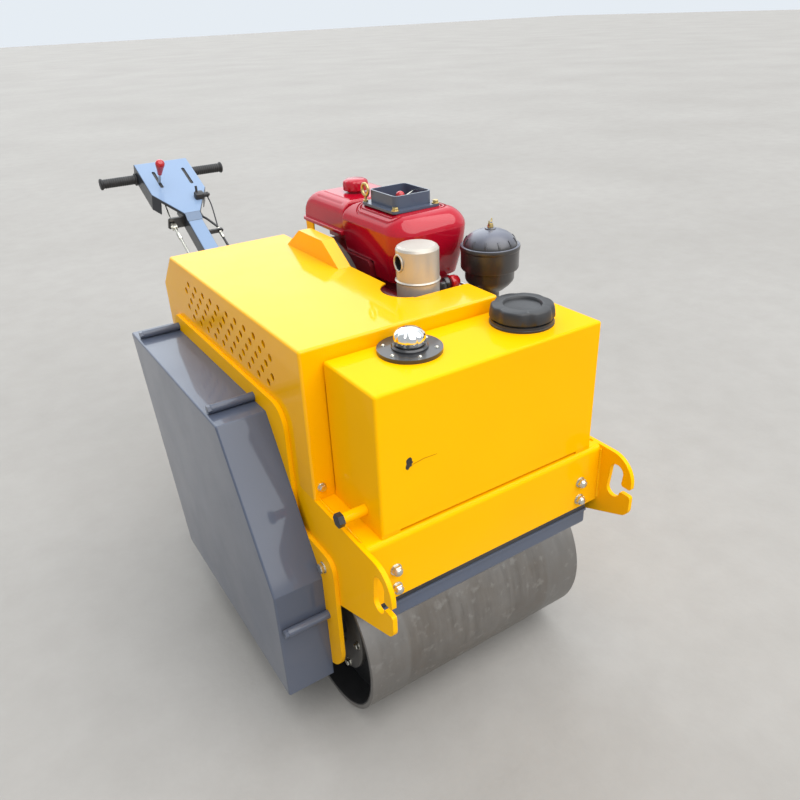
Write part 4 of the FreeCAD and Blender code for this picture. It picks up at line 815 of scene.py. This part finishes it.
pressing = bmesh.new()
grid = []
for j in range(TANK_CELLS[1] + 1):
    y = eased(TANK_Y, j / TANK_CELLS[1])
    row = []
    for i in range(TANK_CELLS[0] + 1):
        x = eased(TANK_X, i / TANK_CELLS[0])
        row.append(pressing.verts.new(spot(x, y, tank_top(x, y))))
    grid.append(row)
for near, far in zip(grid, grid[1:]):
    for i in range(TANK_CELLS[0]):
        pressing.faces.new((near[i], near[i + 1], far[i + 1], far[i]))
rim = grid[0] + [row[-1] for row in grid[1:]] + grid[-1][-2::-1] + [row[0] for row in grid[-2:0:-1]]
foot = [pressing.verts.new((vertex.co.x, vertex.co.y, TANK_WALL_LOW / 1000)) for vertex in rim]
skin(pressing, [foot, rim], False)
pressing.faces.new(list(reversed(foot)))
rings = []
for inset, z in ((1, 969), (0, 970), (0, 977), (1.5, 978.6)):
    plan = soft_plan(58 + inset, 279 - inset, 187, 414 - inset, 4, 18)
    rings.append([pressing.verts.new(spot(x, y, z)) for x, y in plan])
skin(pressing, rings)
rings = []
for z in (930, 970):
    rings.append([pressing.verts.new(spot(x, y, z)) for x, y in around((168.5, 284.5), (120, 150), 0, 12)])
skin(pressing, rings)
finished(mesh_object("fuel_tank_pressing", pressing, crimson, 32.0), "frame", "crimson_paint", "fuel_tank")

CAP_ROWS = (
    (22, 0, 0),
    (22, 4, 0),
    (31, 5, 0.5),
    (33.4, 7.5, 1),
    (33.4, 24, 1),
    (32.2, 28, 1),
    (29, 31, 0.5),
    (25, 32.2, 0),
    (23.5, 33.4, 0),
    (2, 33.8, 0),
)
cap = lobed("fuel_screw_cap", spot(158, 275, 1050), CAP_ROWS, crimson, 12, 1.5)
finished(cap, "frame", "crimson_paint", "fuel_cap")

strap = bmesh.new()
slab(strap, [spot(58.5, y, z) for y, z in ((345, 905), (382, 905), (388, 969), (345, 969))], Vector((0.0035, 0, 0)))
finished(mesh_object("tank_strap", strap, yellow), "frame", "yellow_paint")


# Engine castings
# Single lying cylinder: cast block on painted channel rails, head and covers in front,
# timing gear cover with its starting shaft on the right, and a cast flywheel.

block_paint = sprayed_paint("engine_block_paint", (0.20, 0.006, 0.012), (0.14, 0.004, 0.009), 0.45, 0.35)
dress(block_paint, "engine_block", "gear_cover", "valve_cover")
dress(casting, "engine_rails")

rough_iron, shader, tree = plain_material("cast_iron")
pits = cloudiness(tree, 240.0, 4.0)
rust = cloudiness(tree, 16.0, 6.0, 0.5, 0.75)
tree.links.new(blended(tree, rust, (0.050, 0.046, 0.044), (0.12, 0.06, 0.035), 0.6), shader.inputs["Base Color"])
shader.inputs["Metallic"].default_value = 0.5
tree.links.new(ranged(tree, rust, 0.45, 0.7), shader.inputs["Roughness"])
relief(tree, shader, pits, 0.3, 0.0008, 0.0015)
dress(rough_iron, "flywheel", "cylinder_head")

alloy = bare_metal("cast_alloy", (0.42, 0.42, 0.42), 0.42, 0.8)
dress(alloy, "injection_pump")
dress(bright, "injector_line")

HEAD = (138.0, 789.0)
engine_bolts = bmesh.new()
for x in (-68, 68):
    for z in (-70, 70):
        fastener(engine_bolts, spot(HEAD[0] + x, -158, HEAD[1] + z), Vector((0, -1, 0)), 17, 12, washer=24)
for z in (-22, 22):
    fastener(engine_bolts, spot(HEAD[0], -188, HEAD[1] + z), Vector((0, -1, 0)), 13, 9, dome=4, washer=19)
for y, z in ((110, 694), (180, 690), (255, 690), (322, 706), (346, 770), (342, 850), (270, 878), (168, 878), (112, 818), (110, 752)):
    fastener(engine_bolts, spot(276, y, z), Vector((1, 0, 0)), 12, 6)
for x in (68, 240):
    for y in (110, 330):
        fastener(engine_bolts, spot(x + (20 if x < 100 else -20), y, 648), Vector((0, 0, 1)), 16, 9, washer=22)
finished(mesh_object("engine_bolts", engine_bolts, zinc), "frame", "zinc_steel")

OIL_ROWS = ((14, 0, 0), (14, 6, 0), (19, 7, 1), (19, 20, 1), (17, 23, 0.6), (2, 24, 0))
oil_cap = lobed("oil_filler", spot(214, 340, 930), OIL_ROWS, moulded, 8, 1.8, 48)
finished(oil_cap, "frame", "black_plastic")

fuel_pipe = bmesh.new()
tube_along(fuel_pipe, [spot(258, 215, 972), spot(284, 190, 930), spot(288, 120, 880), spot(272, 84, 824)], 0.005)
finished(mesh_object("fuel_pipe", fuel_pipe, moulded), "frame", "black_rubber")


# Exhaust, air cleaner and decompressor
# A silver-painted can on its flange with a rimmed outlet in its side, an oil-bath air
# cleaner in black stove enamel with a ribbed lid, and a black stop with a red lever.

silver, shader, tree = plain_material("muffler_silver")
heat = cloudiness(tree, 13.0, 5.0, 0.4, 0.75)
tree.links.new(blended(tree, heat, (0.52, 0.49, 0.44), (0.42, 0.37, 0.31), 0.5), shader.inputs["Base Color"])
shader.inputs["Metallic"].default_value = 0.5
tree.links.new(ranged(tree, heat, 0.34, 0.5), shader.inputs["Roughness"])
relief(tree, shader, cloudiness(tree, 600.0, 2.0), 0.1, 0.0003, 0.001)
dress(silver, "muffler", "exhaust_flange")

MUFFLER = (62.0, -150.0, 986.0)
OUTLET_TURN = math.radians(175)
outward = Vector((math.cos(OUTLET_TURN), math.sin(OUTLET_TURN), 0))
to_outlet = outward.to_track_quat("Z", "Y").to_matrix().to_4x4()
outlet = bmesh.new()
hoop(outlet, spot(*MUFFLER) + outward * 0.0475, outward, 0.0178, 0.0022)
finished(mesh_object("outlet_rim", outlet, silver), "frame", "muffler_steel")
soot, shader, tree = plain_material("exhaust_soot")
tree.links.new(
    blended(tree, cloudiness(tree, 90.0), (0.004, 0.004, 0.004), (0.012, 0.011, 0.010)), shader.inputs["Base Color"]
)
shader.inputs["Roughness"].default_value = 0.95
SOOT_ROWS = ((0.0159, 0.0262), (0.0159, 0.0462), (0.0146, 0.0462), (0.0142, 0.0380))
baffle = bmesh.new()
stack(baffle, spot(*MUFFLER), to_outlet, SOOT_ROWS, 32)
finished(mesh_object("muffler_baffle", baffle, soot), "frame", "black_paint")

def painted_sky_sheen_on_top(material, colour, low, high):
    """Paints a sky reflection into a paint's colour: a paler colour on the faces that look up when the machine stands
    at rest.
    """
    tree = material.node_tree
    shader = tree.nodes["Principled BSDF"]
    surface = node(tree, "TexCoord")
    facing = node(tree, "SeparateXYZ")
    tree.links.new(surface.outputs["Normal"], facing.inputs[0])
    upward = node(tree, "MapRange", {"From Min": low, "From Max": high})
    tree.links.new(facing.outputs["Z"], upward.inputs["Value"])
    tone = shader.inputs["Base Color"].links[0].from_socket
    tree.links.new(blended(tree, upward.outputs["Result"], tone, colour), shader.inputs["Base Color"])


enamel = sprayed_paint("stove_enamel", (0.016, 0.015, 0.016), (0.020, 0.019, 0.020), 0.30, 0.9)
enamel.node_tree.nodes["Principled BSDF"].inputs["Coat Roughness"].default_value = 0.28
dress(enamel, "intake_elbow")
AIR = (264.0, -153.0, 846.0)
AIR_ROWS = (
    (24, 0),
    (24, 22),
    (26, 25),
    (34, 30),
    (48, 42),
    (56, 52),
    (58, 58),
    (58, 76),
    (59, 79),
    (66, 81),
    (68, 84),
    (68, 125),
    (69.5, 126.5),
    (70, 129),
    (70, 134),
    (69, 136.5),
    (66.5, 137.5),
    (64.5, 136),
    (63, 136),
    (62.5, 139),
    (60.5, 144),
    (56, 151),
    (49, 158),
    (40, 164),
    (29, 168.5),
    (17, 171.5),
    (13, 172),
    (12, 174.5),
    (6, 175.5),
    (4, 176),
    (4, 187),
    (2, 188),
)
cleaner = bmesh.new()
stack(cleaner, spot(*AIR), Matrix.Identity(4), [(r / 1000, h / 1000) for r, h in AIR_ROWS], 72)
LID_RIBS = 12
RIB_PROFILE = ((63, 137), (62, 144), (58.5, 150.5), (54.5, 155.2), (52.5, 152), (57, 146), (60, 141), (61.5, 137))
for i in range(LID_RIBS):
    turn = 2 * math.pi * (i + 0.35) / LID_RIBS
    along = Vector((math.cos(turn), math.sin(turn), 0))
    across = Vector((-math.sin(turn), math.cos(turn), 0))
    edge = [spot(*AIR) + along * (r / 1000) + Vector((0, 0, h / 1000)) - across * 0.0022 for r, h in RIB_PROFILE]
    slab(cleaner, edge, across * 0.0044)
lid_enamel = sprayed_paint("enamel_dust_and_painted_sky_top", (0.020, 0.018, 0.018), (0.026, 0.024, 0.024), 0.38, 0.6)
lid_enamel.node_tree.nodes["Principled BSDF"].inputs["Coat Roughness"].default_value = 0.3
# The cleaner's upward faces get a paler, bluish painted sky reflection; the thin dust low down is real.
painted_sky_sheen_on_top(lid_enamel, (0.105, 0.112, 0.150), 0.25, 0.95)
finished(mesh_object("air_cleaner_body", cleaner, lid_enamel), "frame", "black_paint", "air_cleaner")

wing_nut = bmesh.new()
stack(wing_nut, spot(AIR[0], AIR[1], 1022), Matrix.Identity(4), ((0.007, 0), (0.007, 0.003), (0.0055, 0.009), (0.004, 0.010)), 20)
for side in (-1, 1):
    wing = [(0, 1024), (10 * side, 1026), (15 * side, 1034), (12 * side, 1040), (7 * side, 1034), (0, 1031)]
    slab(wing_nut, [spot(AIR[0] + x * 0.8, AIR[1] - 1.6 + x * 0.6, z) for x, z in wing], Vector((-0.001, 0.003, 0)))
finished(mesh_object("lid_wing_nut", wing_nut, brass), "frame", "brass")

STOP = (146.0, -124.0, 872.0)
STOP_AXIS_Z = 904.0
stop_boss = bmesh.new()
stack(stop_boss, spot(*STOP), Matrix.Identity(4), ((0.014, 0), (0.014, 0.036), (0.0125, 0.0385), (0.009, 0.040)), 32)
stop_way = Vector((math.cos(math.radians(-5)), math.sin(math.radians(-5)), 0))
to_lever = stop_way.to_track_quat("Z", "Y").to_matrix().to_4x4()
RING_ROWS = ((0.006, -0.010), (0.006, 0.004), (0.0135, 0.005), (0.0150, 0.008), (0.0150, 0.014), (0.0125, 0.017), (0.0105, 0.021))
stack(stop_boss, spot(STOP[0], STOP[1], STOP_AXIS_Z), to_lever, RING_ROWS, 28)
finished(mesh_object("stop_boss", stop_boss, enamel), "frame", "black_paint", "decompressor")
stop_lever = bmesh.new()
LEVER_ROWS = (
    (0.0115, 0.0210),
    (0.0152, 0.0225),
    (0.0160, 0.0260),
    (0.0158, 0.0350),
    (0.0140, 0.0410),
    (0.0100, 0.0450),
    (0.0050, 0.0468),
    (0.0010, 0.0472),
)
stack(stop_lever, spot(STOP[0], STOP[1], STOP_AXIS_Z), to_lever, LEVER_ROWS, 28)
finished(mesh_object("stop_lever", stop_lever, red_moulding), "frame", "red_plastic")


# Handle: bar, grips and levers
# A folded slate console on a box arm, with a pale blue painted sky reflection on its top. Black ribbed rubber
# grips, a red knob on the travel lever, and a throttle clamp with its thumb lever.

slate_with_painted_sky_top = sprayed_paint("handle_slate", (0.034, 0.038, 0.046), (0.030, 0.034, 0.042), 0.35, 0.4, 0.1)
# The console's and arm's upward faces get a pale blue painted sky reflection.
painted_sky_sheen_on_top(slate_with_painted_sky_top, (0.205, 0.290, 0.435), 0.35, 0.8)
dress(slate_with_painted_sky_top, "handle_arm", "console")

PIVOT = (584.0, 442.0)
ARM_SLOPE = math.radians(29.4)
ARM_LENGTH = 808.0
CONSOLE_SLOPE = math.radians(25)


def on_arm(x, along, above):
    """Point by its distance from the hinge pin along the arm, and above its middle line."""
    y = PIVOT[0] + along * math.cos(ARM_SLOPE) - above * math.sin(ARM_SLOPE)
    z = PIVOT[1] + along * math.sin(ARM_SLOPE) + above * math.cos(ARM_SLOPE)
    return spot(x, y, z)


def on_console(x, y, z):
    """Point in the console's own directions, from the middle of its rear top edge."""
    flat = Vector((x, y, z)) / 1000
    return on_arm(0, ARM_LENGTH + 276.5, 18) + Matrix.Rotation(CONSOLE_SLOPE, 3, "X") @ flat


LIP_HALF = 28.0
lip = bmesh.new()
edge = [on_console(-LIP_HALF, -333, -0.6), on_arm(-LIP_HALF, 721, 31.2), on_arm(-LIP_HALF, 756, 31.2)]
slab(lip, edge, Vector((2 * LIP_HALF / 1000, 0, 0)))
finished(mesh_object("console_lip", lip, slate_with_painted_sky_top, 0), "handle", "slate_paint")

rubber, shader, tree = plain_material("grip_rubber")
worn = cloudiness(tree, 22.0, 5.0, 0.4, 0.75)
tree.links.new(blended(tree, worn, (0.016, 0.016, 0.017), (0.045, 0.044, 0.043), 0.7), shader.inputs["Base Color"])
shader.inputs["Roughness"].default_value = 0.55
relief(tree, shader, cloudiness(tree, 700.0, 2.0), 0.15, 0.0005)
dress(enamel, "handlebar")
dress(bright, "travel_lever")

GRIP_ROWS = [(13.2, 104), (22, 104), (23, 105), (23, 108), (21.5, 109.5), (17, 111)]
for i in range(14):
    start = 113 + 8 * i
    GRIP_ROWS += [(17, start), (17, start + 4.6), (15.9, start + 5.6), (15.9, start + 7)]
GRIP_ROWS += [(17, 227), (18.5, 229), (20.6, 231.5), (21, 234), (20.4, 236.6), (18, 238.4), (12, 239), (1, 239)]
sleeves = bmesh.new()
for side in (-1, 1):
    sideways = Vector((side, 0, 0)).to_track_quat("Z", "Y").to_matrix().to_4x4()
    stack(sleeves, on_console(0, -26, -48), sideways, [(r / 1000, h / 1000) for r, h in GRIP_ROWS], 32)
finished(mesh_object("grip_sleeves", sleeves, rubber, 50.0), "handle", "black_rubber", "grips")

SLOT_MIDDLES = (-50.0, 64.0)
slot_seals = bmesh.new()
for x in SLOT_MIDDLES:
    for across in (-9.2, 0.2):
        corners = ((across, -55), (across, -176), (across + 9, -176), (across + 9, -55))
        slab(slot_seals, [on_console(x + u, y, -3.3) for u, y in corners], on_console(0, 0, -3) - on_console(0, 0, 0))
finished(mesh_object("slot_seals", slot_seals, rubber), "handle", "black_rubber")

KNOB_SIDE = ((7, 0), (8, 2), (9.5, 12), (12.5, 28), (15.6, 42), (16.8, 49), (16.2, 55), (13.4, 60), (8, 63.2), (1, 64))
lever_way = (Matrix.Rotation(CONSOLE_SLOPE, 3, "X") @ Vector((0, -0.18, 1))).normalized()
lever_foot = on_console(-50, -126, -54) + lever_way * 0.098
ball = bmesh.new()
upward = lever_way.to_track_quat("Z", "Y").to_matrix().to_4x4()
stack(ball, lever_foot, upward, [(r / 1000, h / 1000) for r, h in KNOB_SIDE], 36)
finished(mesh_object("travel_knob", ball, red_moulding, 60.0), "handle", "red_plastic", "lever_knob")

clamp = bmesh.new()
rings = []
for inset, z in ((0, 0), (0, 16), (2, 20), (6, 22)):
    plan = soft_plan(39 + inset, 73 - inset, -271 + inset, -241 - inset, 7, 7)
    rings.append([clamp.verts.new(on_console(x, y, z)) for x, y in plan])
skin(clamp, rings)
sideways = Vector((1, 0, 0)).to_track_quat("Z", "Y").to_matrix().to_4x4()
BARREL_ROWS = ((9, 14), (9, 26), (10, 27), (10, 32), (7, 34), (5, 34), (5, 38))
stack(clamp, on_console(56, -260, 10), sideways, [(r / 1000, h / 1000) for r, h in BARREL_ROWS], 24)
tube_along(clamp, [on_console(48, -252, 14), on_console(49, -246, 27), on_console(50, -238, 38)], 0.0044)
finished(mesh_object("throttle_clamp", clamp, moulded), "handle", "black_plastic", "throttle_lever")


# Handle: travel rod and throttle cable
# The travel rod runs down the arm's left side through black lugs, with a zinc turnbuckle
# and fork. The throttle's cable runs down the right side through a zinc adjuster.

linkage = bmesh.new()
lugs = bmesh.new()
hoses = bmesh.new()
down_arm = (on_arm(0, 0, 0) - on_arm(0, 100, 0)).normalized()
LEFT_NUTS = ((16, 15, 20), (62, 12, 30), (560, 13, 8))
RIGHT_NUTS = ((-2, 13, 5), (16, 13, 5), (24, 10, 22), (540, 13, 8))
for x, above, low, high, tall, rod, nuts in (
    (-74, 4, 110, 762, 24, linkage, LEFT_NUTS),
    (66, 20, 110, 668, 9, hoses, RIGHT_NUTS),
):
    side = math.copysign(1, x)
    tube_along(rod, [on_arm(x, low, above), on_arm(x, high, above)], 0.0044)
    for along, across, long in nuts:
        fastener(linkage, on_arm(x, high - along, above), down_arm, across, long)
    for along, reach in ((low + 12, 84), (high - 10, abs(x) + 15)):
        edge = []
        for u, v in ((27, -tall), (reach - 6, -tall), (reach, 6 - tall), (reach, tall - 6), (reach - 6, tall), (27, tall)):
            edge.append(on_arm(side * u, along, above + v))
        slab(lugs, edge, -down_arm * 0.006)
for across in (-9, 5):
    edge = [on_arm(-74 + across, along, 4 + v) for along, v in ((724, -7), (724, 7), (748, 7), (748, -7))]
    slab(linkage, edge, Vector((0.004, 0, 0)))
fastener(linkage, on_arm(-85, 736, 4), Vector((1, 0, 0)), 9, 22)
tube_along(linkage, [on_arm(-74, 764, 4), on_console(-54, -190, -50), on_console(-51, -126, -54)], 0.003)
tube_along(hoses, [on_console(84, -262, 6), on_arm(82, 776, 40), on_arm(74, 720, 30), on_arm(66, 668, 20)], 0.0024)
tube_along(hoses, [on_console(30, -318, -6), on_arm(34, 742, 26), on_arm(44, 716, 30), on_arm(66, 676, 24)], 0.0042)
finished(mesh_object("travel_linkage", linkage, zinc), "handle", "zinc_steel", "control_rods")
finished(mesh_object("rod_lugs", lugs, enamel), "handle", "black_paint")
finished(mesh_object("throttle_cable", hoses, moulded), "handle", "black_rubber")
